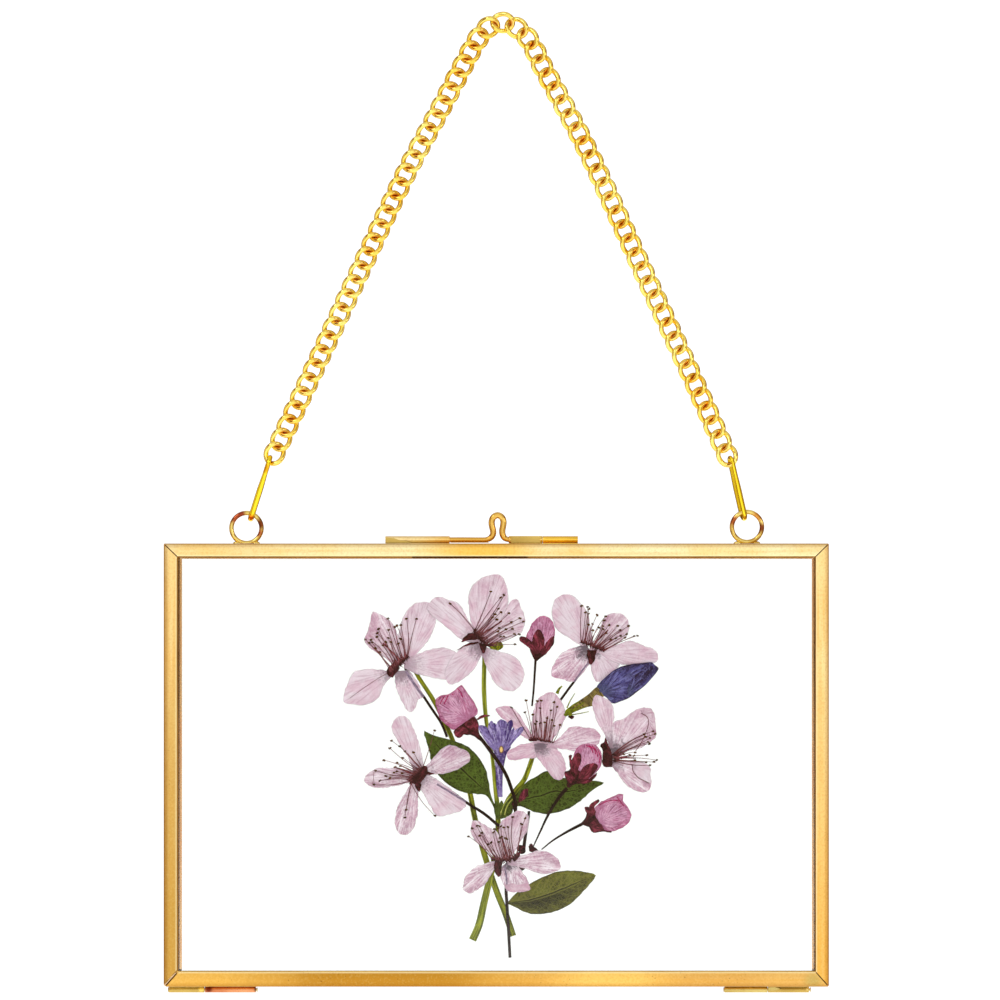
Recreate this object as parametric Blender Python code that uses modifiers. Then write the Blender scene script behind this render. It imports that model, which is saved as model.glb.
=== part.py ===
"""Pressed flower frame: a hanging brass frame whose two glazed halves hold a dried bouquet.

The frame hangs from its chain at the origin, +Z is up and the viewer stands at -Y.
Lengths are metres. Places named ..._PX were read from the photograph, in its pixels,
and place() turns them into metres in the plane of the frame.
"""
import math

import bmesh
import bpy
from mathutils import Euler, Vector

MM = 0.001

# ---------------------------------------------------------------- driving dimensions
FRAME_WIDTH = 158.0 * MM        # a 4 x 6 inch frame with its brass round it
FRAME_WIDTH_PX = 664.5
METRE_PER_PX = FRAME_WIDTH / FRAME_WIDTH_PX
FRAME_MIDDLE_PX = 496.3         # the frame's centre line, across
HANG_PX = 30.5                  # the underside of the chain where a nail carries it
FRAME_TOP_PX = 543.5
FRAME_BOTTOM_PX = 986.2

HALF_DEPTH = 4.0 * MM           # front to back of one half of the frame
PARTING = 0.15 * MM             # each half stays this far from the plane between them
SHEET = 0.6 * MM                # wall of the folded brass channel
FRONT_FLANGE = 3.1 * MM         # brass seen round the front pane
BACK_FLANGE = 4.2 * MM          # the back half laps further over its pane
INNER_FLANGE = 2.2 * MM
FOLD_RADIUS = 0.35 * MM         # outer fold of the channel
MITRE_GAP = 0.12 * MM           # half the seam at each corner
PANE = 2.0 * MM
PANE_INNER_FACE = 1.15 * MM     # from the parting plane to the glass
PANE_EDGE_ROOM = 0.9 * MM

HINGE_RADIUS = 0.68 * MM
HINGE_BORE = 0.38 * MM
HINGE_PIN_RADIUS = 0.30 * MM
HINGE_DROP = 0.81 * MM          # hinge axis below the frame
HINGE_SIDES = 10
LEFT_HINGE_PX = {"front": (169.0, 204.3), "back": (205.5, 256.0), "pin": (168.0, 257.6)}
RIGHT_HINGE_PX = {"front": (768.8, 808.0), "back": (724.4, 767.6), "pin": (723.4, 810.8)}

LATCH_RADIUS = 0.82 * MM
LATCH_BORE = 0.68 * MM
LATCH_SIDES = 12
LATCH_AXIS_PX = 539.6
LATCH_LEFT_PX = (385.3, 449.7)
LATCH_MIDDLE_PX = (508.7, 541.6)
LATCH_RIGHT_PX = (542.9, 577.9)
LATCH_WIRE_RADIUS = 0.58 * MM
LATCH_WIRE_PX = (426.0, 541.0)  # the wire's two ends, hidden in the tubes
LOOP_CENTRE_PX = (497.6, 520.6)
LOOP_RADIUS_PX = 6.3
LOOP_NECK_PX = 4.1              # half the distance between the two legs
LOOP_NECK_HEIGHT_PX = 532.0

RING_LEFT_PX = (246.3, 528.1)
RING_RIGHT_PX = (747.1, 527.0)
RING_RADIUS = 3.61 * MM
RING_WIRE = 0.475 * MM
RING_SEAT = 2.2 * MM            # the rings stand on the back half
SEAT_GAP = 0.05 * MM

LONG_LINK_WIRE = 0.52 * MM
LONG_LINK_DEPTH = 3.4 * MM      # across the link, between its wires' middles
LONG_LINK_LEFT_PX = ((250.6, 518.3), (270.8, 455.4))
LONG_LINK_RIGHT_PX = ((743.6, 517.1), (728.3, 457.4))

CHAIN_ROUTE_PX = (
    (271.0, 455.0), (309.0, 380.0), (357.0, 277.0), (405.0, 175.0), (440.0, 109.5),
    (473.0, 46.5), (482.0, 34.0), (490.5, 25.0), (505.0, 21.5), (518.0, 28.0),
    (531.0, 42.0), (543.0, 67.0), (588.0, 151.0), (640.0, 264.0), (692.0, 376.5),
    (728.0, 457.0),
)
CHAIN_LINKS = 65
CHAIN_LEFT_LINKS = 33
CHAIN_WIDTH = 5.0 * MM
CHAIN_WAIST = 3.7 * MM          # width where one link passes through the next
CHAIN_THICKNESS = 1.6 * MM
CHAIN_HOLE_WIDTH = 2.7 * MM
CHAIN_HOLE_SHARE = 0.29         # half the hole's length, in pitches
CHAIN_SHOULDER = 0.24           # a link is widest this share of a pitch from its middle
CHAIN_SPLIT_GAP = 0.1 * MM
HEXAGON_HALF = math.sin(math.pi / 3)

# Layers of the pressed plants, nearest and furthest face from the parting plane (-Y is
# the front): what lies over something else in the bouquet is in a nearer layer.
LAYER_FRONT = (-0.95 * MM, -0.72 * MM)
LAYER_MIDDLE = (-0.67 * MM, -0.44 * MM)
LAYER_STEM = (-0.30 * MM, 0.0)
LAYER_BEHIND = (0.08 * MM, 0.34 * MM)
LAYER_GREEN = (0.40 * MM, 0.70 * MM)
LAYER_LEAF = (0.76 * MM, 1.0 * MM)
BUD_SPAN = (-0.95 * MM, -0.05 * MM)

# Each blossom: centre, then its petals as (tip, width across), all in pixels.
BLOSSOMS_PX = {
    "blossom_upper_left": (LAYER_MIDDLE, (404.0, 663.0), (
        ((344.0, 700.0), 30.0), ((414.0, 711.0), 24.0), ((461.0, 664.0), 30.0),
        ((428.0, 604.0), 32.0), ((370.0, 622.0), 34.0))),
    "blossom_top": (LAYER_FRONT, (482.0, 642.0), (
        ((430.0, 607.0), 30.0), ((493.0, 576.0), 40.0), ((520.0, 604.0), 34.0),
        ((512.0, 688.0), 36.0), ((452.0, 682.0), 36.0))),
    "blossom_upper_right": (LAYER_BEHIND, (592.0, 652.0), (
        ((562.0, 596.0), 40.0), ((555.0, 678.0), 30.0), ((608.0, 682.0), 26.0),
        ((658.0, 655.0), 32.0), ((624.0, 615.0), 34.0))),
    "blossom_centre": (LAYER_MIDDLE, (541.0, 744.0), (
        ((498.0, 710.0), 22.0), ((552.0, 695.0), 34.0), ((599.0, 733.0), 26.0),
        ((560.0, 780.0), 26.0), ((507.0, 757.0), 18.0))),
    "blossom_right": (LAYER_FRONT, (613.0, 755.0), (
        ((601.0, 706.0), 20.0), ((651.0, 712.0), 38.0), ((648.0, 790.0), 30.0))),
    "blossom_left": (LAYER_MIDDLE, (420.0, 777.0), (
        ((402.0, 717.0), 26.0), ((468.0, 752.0), 24.0), ((455.0, 812.0), 34.0),
        ((402.0, 834.0), 22.0), ((364.0, 780.0), 20.0))),
    "blossom_bottom": (LAYER_FRONT, (504.0, 860.0), (
        ((474.0, 822.0), 22.0), ((524.0, 811.0), 24.0), ((560.0, 866.0), 20.0),
        ((526.0, 891.0), 24.0), ((466.0, 892.0), 24.0))),
}
BLOSSOM_STEPS = 60
PETAL_WIDEST = 0.62             # share of a petal's length where it is widest
PETAL_SPREAD = 1.18             # a lobe's foot angle over its widest angle
BLOSSOM_HEART_PX = 8.0          # radius of the calyx and the petals' claws

# Each bud: where its calyx starts, its tip and its widest width, in pixels.
BUDS_PX = {
    "bud_top": ((536.0, 660.0), (541.0, 616.0), 31.0),
    "bud_blue": ((574.0, 707.0), (658.0, 668.0), 27.0),
    "bud_pink_left": ((479.0, 736.0), (446.0, 690.0), 40.0),
    "bud_pink_centre": ((569.0, 787.0), (594.0, 753.0), 27.0),
    "bud_pink_right": ((585.0, 822.0), (630.0, 808.0), 34.0),
}
BUD_PROFILE = ((0.0, 1.0), (0.45, 0.97), (0.82, 0.84), (1.0, 0.62), (0.80, 0.36),
               (0.40, 0.16), (0.16, 0.0), (0.0, 0.0))
BUD_SIDES = 12

VIOLET_FLOWER_PX = ((500.0, 800.0), (503.0, 718.0), 46.0)
VIOLET_PROFILE = ((0.0, 0.97), (0.45, 1.0), (1.0, 0.88), (0.62, 0.66), (0.26, 0.50),
                  (0.14, 0.30), (0.12, 0.0), (0.0, 0.0))
VIOLET_SPAN = (-0.38 * MM, 0.0)

# Each leaf: base, tip, width to the left and to the right of its midrib, in pixels.
LEAVES_PX = {
    "leaf_left": ((494.0, 803.0), (425.0, 732.0), 25.0, 17.0),
    "leaf_centre": ((513.0, 802.0), (603.0, 782.0), 21.0, 22.0),
    "leaf_bottom": ((508.0, 904.0), (596.0, 875.0), 17.0, 22.0),
}
LEAF_STEPS = 8

# Each stem: layer, width in pixels, route in pixels.
STEMS_PX = {
    "stem_green_left": (LAYER_GREEN, 5.6, (
        (408.0, 669.0), (420.0, 682.0), (434.0, 702.0), (447.0, 730.0), (459.0, 762.0),
        (469.0, 793.0), (477.0, 826.0), (489.0, 866.0), (501.0, 903.0), (512.5, 936.0))),
    "stem_green_centre": (LAYER_BEHIND, 5.6, (
        (484.5, 655.0), (484.0, 690.0), (486.0, 722.0), (490.0, 752.0), (495.0, 786.0),
        (500.0, 816.0), (497.0, 846.0), (490.0, 877.0), (482.0, 911.0), (472.5, 940.0))),
    "stem_green_right": (LAYER_GREEN, 4.8, (
        (533.0, 757.0), (527.0, 774.0), (517.0, 790.0), (503.0, 812.0))),
    "stem_dark_upper_left": (LAYER_STEM, 2.6, (
        (411.0, 677.0), (425.0, 696.0), (438.0, 713.0), (449.0, 735.0), (454.0, 747.0))),
    "stem_dark_centre": ((-0.66 * MM, -0.42 * MM), 3.6, (
        (480.5, 739.0), (491.0, 751.0), (503.0, 769.0), (511.0, 787.0), (516.5, 801.0),
        (517.0, 822.0), (510.0, 852.0), (506.5, 885.0), (507.5, 922.0), (510.0, 957.5))),
    "stem_dark_top": (LAYER_STEM, 2.2, (
        (535.6, 662.5), (534.3, 684.0), (532.3, 706.0))),
    "stem_dark_upper_right": (LAYER_STEM, 2.2, (
        (587.0, 663.0), (575.0, 680.0), (560.0, 701.0))),
    "stem_dark_left": (LAYER_STEM, 2.8, (
        (440.0, 780.0), (468.0, 803.0), (486.0, 817.0), (501.0, 829.0))),
    "stem_dark_low_centre": (LAYER_STEM, 2.6, (
        (566.0, 790.5), (555.0, 803.0), (545.0, 822.0), (533.0, 848.0))),
    "stem_dark_low_right": (LAYER_STEM, 2.2, (
        (583.0, 823.0), (563.0, 834.0), (542.0, 849.0))),
    "stem_dark_short": (LAYER_STEM, 3.2, (
        (527.0, 811.0), (524.0, 830.0), (521.5, 850.0))),
}


def place(px, py):
    """A pixel of the photograph, as x and z in the plane of the frame."""
    return (px - FRAME_MIDDLE_PX) * METRE_PER_PX, (HANG_PX - py) * METRE_PER_PX


FRAME_TOP = place(0.0, FRAME_TOP_PX)[1]
FRAME_BOTTOM = place(0.0, FRAME_BOTTOM_PX)[1]
FRAME_HEIGHT = FRAME_TOP - FRAME_BOTTOM
FRAME_CENTRE_Z = (FRAME_TOP + FRAME_BOTTOM) / 2
HINGE_Z = FRAME_BOTTOM - HINGE_DROP


# ------------------------------------------------------------------------- helpers
def clear_scene():
    for thing in list(bpy.data.objects):
        bpy.data.objects.remove(thing, do_unlink=True)


def new_collection(name):
    collection = bpy.data.collections.new(name)
    bpy.context.scene.collection.children.link(collection)
    return collection


def new_material(name, colour, metallic=0.0, roughness=0.5, transmission=0.0):
    material = bpy.data.materials.new(name)
    material.use_nodes = True
    shader = material.node_tree.nodes["Principled BSDF"]
    shader.inputs["Base Color"].default_value = (*colour, 1.0)
    shader.inputs["Metallic"].default_value = metallic
    shader.inputs["Roughness"].default_value = roughness
    shader.inputs["Transmission Weight"].default_value = transmission
    return material


def add_object(name, data, material):
    thing = bpy.data.objects.new(name, data)
    thing.data.materials.append(material)
    PARTS.objects.link(thing)
    return thing


def object_from_bmesh(name, form, material):
    bmesh.ops.recalc_face_normals(form, faces=form.faces)
    mesh = bpy.data.meshes.new(name)
    form.to_mesh(mesh)
    form.free()
    return add_object(name, mesh, material)


def through(points, per_span):
    """A smooth curve through the points (Catmull-Rom), per_span steps between two."""
    ends = [points[0] * 2 - points[1]] + points + [points[-1] * 2 - points[-2]]
    curve = []
    for before, start, end, after in zip(ends, ends[1:], ends[2:], ends[3:]):
        for step in range(per_span):
            t = step / per_span
            curve.append(0.5 * (2 * start + (end - before) * t
                                + (2 * before - 5 * start + 4 * end - after) * t ** 2
                                + (3 * start - before - 3 * end + after) * t ** 3))
    curve.append(points[-1])
    return curve


def evenly(points, count):
    """count points at equal steps along a polyline."""
    lengths = [0.0]
    for start, end in zip(points, points[1:]):
        lengths.append(lengths[-1] + (end - start).length)
    spaced = []
    for index in range(count):
        target = lengths[-1] * index / (count - 1)
        span = max(i for i, length in enumerate(lengths[:-1]) if length <= target)
        share = (target - lengths[span]) / (lengths[span + 1] - lengths[span])
        spaced.append(points[span].lerp(points[span + 1], share))
    return spaced


def wire(name, points, radius, material, sides=6, cyclic=False):
    """A round wire along a polyline of 3-D points."""
    curve = bpy.data.curves.new(name, "CURVE")
    curve.dimensions = "3D"
    curve.bevel_depth = radius
    curve.bevel_resolution = (sides - 4) // 2
    curve.use_fill_caps = not cyclic
    spline = curve.splines.new("POLY")
    spline.points.add(len(points) - 1)
    for knot, point in zip(spline.points, points):
        knot.co = (*point, 1.0)
    spline.use_cyclic_u = cyclic
    return add_object(name, curve, material)


def plate(name, outlines, near, far, material):
    """Flat outlines in the frame's plane, as thick as the space from near to far."""
    curve = bpy.data.curves.new(name, "CURVE")
    curve.dimensions = "2D"
    curve.fill_mode = "BOTH"
    curve.extrude = (far - near) / 2
    for outline in outlines:
        spline = curve.splines.new("POLY")
        spline.points.add(len(outline) - 1)
        for knot, (x, z) in zip(spline.points, outline):
            knot.co = (x, z, 0.0, 1.0)
        spline.use_cyclic_u = True
    thing = add_object(name, curve, material)
    thing.rotation_euler = Euler((math.pi / 2, 0.0, 0.0))
    thing.location = (0.0, (near + far) / 2, 0.0)
    return thing


def turned(name, profile, sides, material, closed=False):
    """A turned form about its own Z: profile is (radius, height), outer side downward."""
    mesh = bpy.data.meshes.new(name)
    edges = [(i, i + 1) for i in range(len(profile) - 1)]
    if closed:
        edges.append((len(profile) - 1, 0))
    mesh.from_pydata([(radius, 0.0, height) for radius, height in profile], edges, [])
    thing = add_object(name, mesh, material)
    screw = thing.modifiers.new("Turn", "SCREW")
    screw.steps = screw.render_steps = sides
    screw.use_merge_vertices = True
    screw.merge_threshold = 0.00001
    return thing


def tube_along_x(name, span_px, z, radius, bore, sides, material):
    start = place(span_px[0], 0.0)[0]
    end = place(span_px[1], 0.0)[0]
    half = (end - start) / 2
    profile = ((radius, half), (radius, -half), (bore, -half), (bore, half))
    thing = turned(name, profile, sides, material, closed=True)
    thing.rotation_euler = Euler((0.0, math.pi / 2, 0.0))
    thing.location = ((start + end) / 2, 0.0, z)
    return thing


# ----------------------------------------------------------------------- the frame
def channel_profile(front):
    """Section of the folded channel: distance in from the outer edge, and depth."""
    face = FRONT_FLANGE if front else BACK_FLANGE
    outer = PARTING + HALF_DEPTH
    fold = [(FOLD_RADIUS * (1 - math.cos(turn)), outer - FOLD_RADIUS * (1 - math.sin(turn)))
            for turn in (0.0, math.pi / 4, math.pi / 2)]
    section = [(0.0, PARTING)] + fold + [
        (face, outer), (face, outer - SHEET), (SHEET, outer - SHEET),
        (SHEET, PARTING + SHEET), (INNER_FLANGE, PARTING + SHEET), (INNER_FLANGE, PARTING)]
    side = -1 if front else 1
    return [(inward, side * depth) for inward, depth in section]


def frame_bar(name, front, side):
    """One mitred bar of a half; side is top, bottom, left or right."""
    along_x = side in ("top", "bottom")
    length = FRAME_WIDTH if along_x else FRAME_HEIGHT
    reach = (FRAME_HEIGHT if along_x else FRAME_WIDTH) / 2
    form = bmesh.new()
    corners = [form.verts.new((-length / 2, depth, reach - inward))
               for inward, depth in channel_profile(front)]
    end_face = form.faces.new(corners)
    swept = bmesh.ops.extrude_face_region(form, geom=[end_face])
    moved = [item for item in swept["geom"] if isinstance(item, bmesh.types.BMVert)]
    bmesh.ops.translate(form, verts=moved, vec=(length, 0.0, 0.0))
    for end in (-1, 1):
        cut = bmesh.ops.bisect_plane(
            form, geom=form.verts[:] + form.edges[:] + form.faces[:],
            plane_co=(end * (length / 2 - MITRE_GAP), 0.0, reach),
            plane_no=(end, 0.0, -1.0), clear_outer=True)
        rim = [item for item in cut["geom_cut"] if isinstance(item, bmesh.types.BMEdge)]
        bmesh.ops.holes_fill(form, edges=rim)
    quarter_turns = {"top": 0, "left": -1, "bottom": 2, "right": 1}[side]
    bar = object_from_bmesh(name, form, BRASS)
    bar.rotation_euler = Euler((0.0, quarter_turns * math.pi / 2, 0.0))
    bar.location = (0.0, 0.0, FRAME_CENTRE_Z)
    return bar


def glass_pane(name, side):
    form = bmesh.new()
    bmesh.ops.create_cube(form, size=1.0)
    size = (FRAME_WIDTH - 2 * PANE_EDGE_ROOM, PANE, FRAME_HEIGHT - 2 * PANE_EDGE_ROOM)
    bmesh.ops.scale(form, vec=size, verts=form.verts)
    pane = object_from_bmesh(name, form, GLASS)
    pane.location = (0.0, side * (PANE_INNER_FACE + PANE / 2), FRAME_CENTRE_Z)
    return pane


def hinge(name, spans_px):
    for leaf in ("front", "back"):
        tube_along_x(f"{name}_{leaf}_knuckle", spans_px[leaf], HINGE_Z,
                     HINGE_RADIUS, HINGE_BORE, HINGE_SIDES, COPPER)
    start = place(spans_px["pin"][0], 0.0)[0]
    end = place(spans_px["pin"][1], 0.0)[0]
    half = (end - start) / 2
    head = HINGE_RADIUS * 0.85
    head_length = 0.2 * MM
    profile = ((0.0, half), (head, half), (head, half - head_length),
               (HINGE_PIN_RADIUS, half - head_length), (HINGE_PIN_RADIUS, head_length - half),
               (head, head_length - half), (head, -half), (0.0, -half))
    pin = turned(f"{name}_pin", profile, HINGE_SIDES, COPPER)
    pin.rotation_euler = Euler((0.0, math.pi / 2, 0.0))
    pin.location = ((start + end) / 2, 0.0, HINGE_Z)


def latch():
    axis_z = place(0.0, LATCH_AXIS_PX)[1]
    for name, span in (("latch_left_tube", LATCH_LEFT_PX),
                       ("latch_middle_tube", LATCH_MIDDLE_PX),
                       ("latch_right_tube", LATCH_RIGHT_PX)):
        tube_along_x(name, span, axis_z, LATCH_RADIUS, LATCH_BORE, LATCH_SIDES, BRASS)
    latch_pin()


def latch_pin():
    """The sliding wire: it rises from the tubes in a loop that a finger pulls."""
    across, up = LOOP_CENTRE_PX
    leg_angle = math.asin(LOOP_NECK_PX / LOOP_RADIUS_PX)
    loop_steps = 12
    turn = 2 * (math.pi - leg_angle)
    loop = []
    for step in range(loop_steps + 1):
        angle = leg_angle + turn * step / loop_steps
        loop.append((across - LOOP_RADIUS_PX * math.sin(angle),
                     up + LOOP_RADIUS_PX * math.cos(angle)))
    left_leg = across - LOOP_NECK_PX
    right_leg = across + LOOP_NECK_PX
    foot = ((left_leg - 6.5, LATCH_AXIS_PX), (left_leg - 3.2, LATCH_AXIS_PX - 1.0),
            (left_leg - 0.9, LATCH_AXIS_PX - 3.6), (left_leg, LOOP_NECK_HEIGHT_PX))
    other_foot = [(right_leg, LOOP_NECK_HEIGHT_PX), (right_leg + 0.9, LATCH_AXIS_PX - 3.6),
                  (right_leg + 3.0, LATCH_AXIS_PX - 0.9), (right_leg + 6.2, LATCH_AXIS_PX)]
    route = [(LATCH_WIRE_PX[0], LATCH_AXIS_PX), *foot, *loop, *other_foot,
             (LATCH_WIRE_PX[1], LATCH_AXIS_PX)]
    points = []
    for px, py in route:
        x, z = place(px, py)
        points.append(Vector((x, 0.0, z)))
    wire("latch_pin", points, LATCH_WIRE_RADIUS, BRASS, sides=8)


def hanging_ring(name, centre_px):
    """A ring soldered on the bar: flattened where it sits on the brass."""
    x, z = place(*centre_px)
    around, across = 24, 6
    form = bmesh.new()
    section = bmesh.ops.create_circle(form, segments=across, radius=RING_WIRE)
    bmesh.ops.translate(form, verts=section["verts"], vec=(RING_RADIUS, 0.0, 0.0))
    bmesh.ops.spin(form, geom=form.verts[:] + form.edges[:], cent=(0.0, 0.0, 0.0),
                   axis=(0.0, 1.0, 0.0), angle=2 * math.pi, steps=around, use_merge=True)
    bmesh.ops.remove_doubles(form, verts=form.verts, dist=0.000001)
    cut = bmesh.ops.bisect_plane(
        form, geom=form.verts[:] + form.edges[:] + form.faces[:],
        plane_co=(0.0, 0.0, FRAME_TOP + SEAT_GAP - z), plane_no=(0.0, 0.0, -1.0),
        clear_outer=True)
    rim = [item for item in cut["geom_cut"] if isinstance(item, bmesh.types.BMEdge)]
    bmesh.ops.holes_fill(form, edges=rim)
    ring = object_from_bmesh(name, form, BRASS)
    ring.location = (x, RING_SEAT, z)
    return ring


def long_link(name, ends_px):
    """An oval link seen on edge, from the ring up to the chain's last link."""
    low_x, low_z = place(*ends_px[0])
    high_x, high_z = place(*ends_px[1])
    low = Vector((low_x, RING_SEAT, low_z))
    high = Vector((high_x, 0.0, high_z))
    along = (high - low).normalized()
    side = along.cross(Vector((1.0, 0.0, 0.0))).normalized()
    radius = LONG_LINK_DEPTH / 2
    steps = 8
    points = []
    for centre, way in ((high - along * radius, 1), (low + along * radius, -1)):
        for step in range(steps + 1):
            angle = math.pi * step / steps
            points.append(centre + way * (side * math.cos(angle) * radius
                                          + along * math.sin(angle) * radius))
    wire(name, points, LONG_LINK_WIRE, GOLD, sides=6, cyclic=True)


def chain():
    """Curb links joined where each passes through the next, in two hanging runs."""
    knots = []
    for px, py in CHAIN_ROUTE_PX:
        x, z = place(px, py)
        knots.append(Vector((x, z)))
    centres = evenly(through(knots, 8), CHAIN_LINKS)
    pitch = (centres[1] - centres[0]).length
    centres = [centres[0] * 2 - centres[1]] + centres + [centres[-1] * 2 - centres[-2]]
    chain_run("chain_left", centres[:CHAIN_LEFT_LINKS + 2], pitch)
    chain_run("chain_right", centres[CHAIN_LEFT_LINKS:], pitch)


def chain_run(name, centres, pitch):
    """centres also holds the neighbour of the run's first link and of its last."""
    one_side, other_side, holes = [], [], []

    def both_sides(point, across, width):
        one_side.append(tuple(point + across * width / 2))
        other_side.append(tuple(point - across * width / 2))

    for before, centre, after in zip(centres, centres[1:], centres[2:]):
        step_in = (centre - before).normalized()
        waist = (before + centre) / 2
        if not holes:
            waist += step_in * CHAIN_SPLIT_GAP / 2
        both_sides(waist, Vector((-step_in.y, step_in.x)), CHAIN_WAIST)
        along = (after - before).normalized()
        across = Vector((-along.y, along.x))
        for share in (-CHAIN_SHOULDER, CHAIN_SHOULDER):
            both_sides(centre + along * share * pitch, across, CHAIN_WIDTH)
        hole = []
        for step in range(6):
            angle = math.pi * step / 3
            corner = (centre + along * math.cos(angle) * CHAIN_HOLE_SHARE * pitch
                      + across * math.sin(angle) * CHAIN_HOLE_WIDTH / 2 / HEXAGON_HALF)
            hole.append(tuple(corner))
        holes.append(hole)
    last_step = (centres[-1] - centres[-2]).normalized()
    end = (centres[-1] + centres[-2]) / 2 - last_step * CHAIN_SPLIT_GAP / 2
    both_sides(end, Vector((-last_step.y, last_step.x)), CHAIN_WAIST)
    plate(name, [one_side + other_side[::-1]] + holes,
          -CHAIN_THICKNESS / 2, CHAIN_THICKNESS / 2, GOLD)


# ---------------------------------------------------------------------- the bouquet
def blossom(name, layer, centre, petals):
    """A pressed blossom: the furthest petal in each direction gives its outline."""
    outline = []
    for step in range(BLOSSOM_STEPS):
        direction = 2 * math.pi * step / BLOSSOM_STEPS
        reach = BLOSSOM_HEART_PX
        for (tip_x, tip_y), width in petals:
            away = Vector((tip_x - centre[0], centre[1] - tip_y))
            turn = math.remainder(direction - math.atan2(away.y, away.x), 2 * math.pi)
            foot = PETAL_SPREAD * math.atan(width / 2 / (PETAL_WIDEST * away.length))
            if abs(turn) < foot:
                reach = max(reach, away.length * (1 - (abs(turn) / foot) ** 2.4) ** 0.5)
        outline.append(place(centre[0] + reach * math.cos(direction),
                             centre[1] - reach * math.sin(direction)))
    plate(name, [outline], *layer, PETAL_PINK)


def leaf(name, base_px, tip_px, left_px, right_px):
    base = Vector(place(*base_px))
    tip = Vector(place(*tip_px))
    along = tip - base
    across = Vector((-along.y, along.x)).normalized()
    left, right = [], []
    for step in range(LEAF_STEPS + 1):
        share = step / LEAF_STEPS
        swell = math.sin(math.pi * share ** 0.85) ** 0.9
        middle = base + along * share
        left.append(middle + across * left_px * METRE_PER_PX * swell)
        if 0 < step < LEAF_STEPS:
            right.append(middle - across * right_px * METRE_PER_PX * swell)
    outline = [tuple(corner) for corner in left + right[::-1]]
    plate(name, [outline], *LAYER_LEAF, LEAF_GREEN)


def pressed_turning(name, profile, base_px, tip_px, width_px, span, material):
    """A turned form laid in the frame's plane and pressed flat into the span."""
    base = Vector(place(*base_px))
    tip = Vector(place(*tip_px))
    along = tip - base
    radius = width_px * METRE_PER_PX / 2
    heights = [(share * radius, height * along.length) for share, height in profile]
    thing = turned(name, heights, BUD_SIDES, material)
    thing.rotation_euler = Euler((0.0, math.atan2(along.x, along.y), 0.0))
    thing.location = (base.x, (span[0] + span[1]) / 2, base.y)
    thing.scale = (1.0, (span[1] - span[0]) / 2 / radius, 1.0)


def stem(name, layer, width_px, route_px):
    """A stem pressed flat: a tube squeezed to the thickness of its layer."""
    knots = []
    for px, py in route_px:
        x, z = place(px, py)
        knots.append(Vector((x, 0.0, z)))
    radius = width_px * METRE_PER_PX / 2
    material = STEM_GREEN if "green" in name else STEM_DARK
    thing = wire(name, knots, radius, material)
    thing.location = (0.0, (layer[0] + layer[1]) / 2, 0.0)
    thing.scale = (1.0, (layer[1] - layer[0]) / 2 / radius, 1.0)


def bouquet():
    for name, (layer, centre, petals) in BLOSSOMS_PX.items():
        blossom(name, layer, centre, petals)
    for name, (base, tip, width) in BUDS_PX.items():
        material = BUD_BLUE if "blue" in name else BUD_PINK
        pressed_turning(name, BUD_PROFILE, base, tip, width, BUD_SPAN, material)
    base, tip, width = VIOLET_FLOWER_PX
    pressed_turning("violet_flower", VIOLET_PROFILE, base, tip, width, VIOLET_SPAN, VIOLET)
    for name, (base, tip, left, right) in LEAVES_PX.items():
        leaf(name, base, tip, left, right)
    for name, (layer, width, route) in STEMS_PX.items():
        stem(name, layer, width, route)


clear_scene()
PARTS = new_collection("pressed_flower_frame")
BRASS = new_material("Brass", (0.80, 0.56, 0.22), metallic=1.0, roughness=0.32)
COPPER = new_material("Reddish brass", (0.62, 0.34, 0.13), metallic=1.0, roughness=0.38)
GOLD = new_material("Gold plate", (0.90, 0.66, 0.20), metallic=1.0, roughness=0.2)
GLASS = new_material("Glass", (0.98, 1.0, 0.99), roughness=0.0, transmission=1.0)
PETAL_PINK = new_material("Pressed petal", (0.78, 0.58, 0.66), roughness=0.8)
BUD_PINK = new_material("Pink bud", (0.55, 0.20, 0.34), roughness=0.75)
BUD_BLUE = new_material("Blue bud", (0.10, 0.08, 0.28), roughness=0.75)
VIOLET = new_material("Violet flower", (0.28, 0.20, 0.50), roughness=0.75)
LEAF_GREEN = new_material("Leaf", (0.13, 0.19, 0.07), roughness=0.7)
STEM_GREEN = new_material("Green stem", (0.27, 0.32, 0.10), roughness=0.7)
STEM_DARK = new_material("Dark stem", (0.06, 0.03, 0.04), roughness=0.7)

for half in ("front", "back"):
    for edge in ("top", "bottom", "left", "right"):
        frame_bar(f"{half}_{edge}_bar", half == "front", edge)
glass_pane("front_glass", -1)
glass_pane("back_glass", 1)
hinge("left_hinge", LEFT_HINGE_PX)
hinge("right_hinge", RIGHT_HINGE_PX)
latch()
hanging_ring("left_ring", RING_LEFT_PX)
hanging_ring("right_ring", RING_RIGHT_PX)
long_link("left_long_link", LONG_LINK_LEFT_PX)
long_link("right_long_link", LONG_LINK_RIGHT_PX)
chain()
bouquet()
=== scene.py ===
# %% [markdown]
# # A pressed flower frame
#
# The real object is a small hanging frame of folded brass. Its two glazed halves are
# hinged at the bottom and locked by a sliding wire at the top, and a bouquet of dried
# blossoms lies between the panes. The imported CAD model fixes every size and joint. This
# script gives each visible piece its true form and finish, and hangs it on a CAD body.

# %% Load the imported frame
import math
import random

import bmesh
import bpy
from mathutils import Euler, Matrix, Vector, noise


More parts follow.
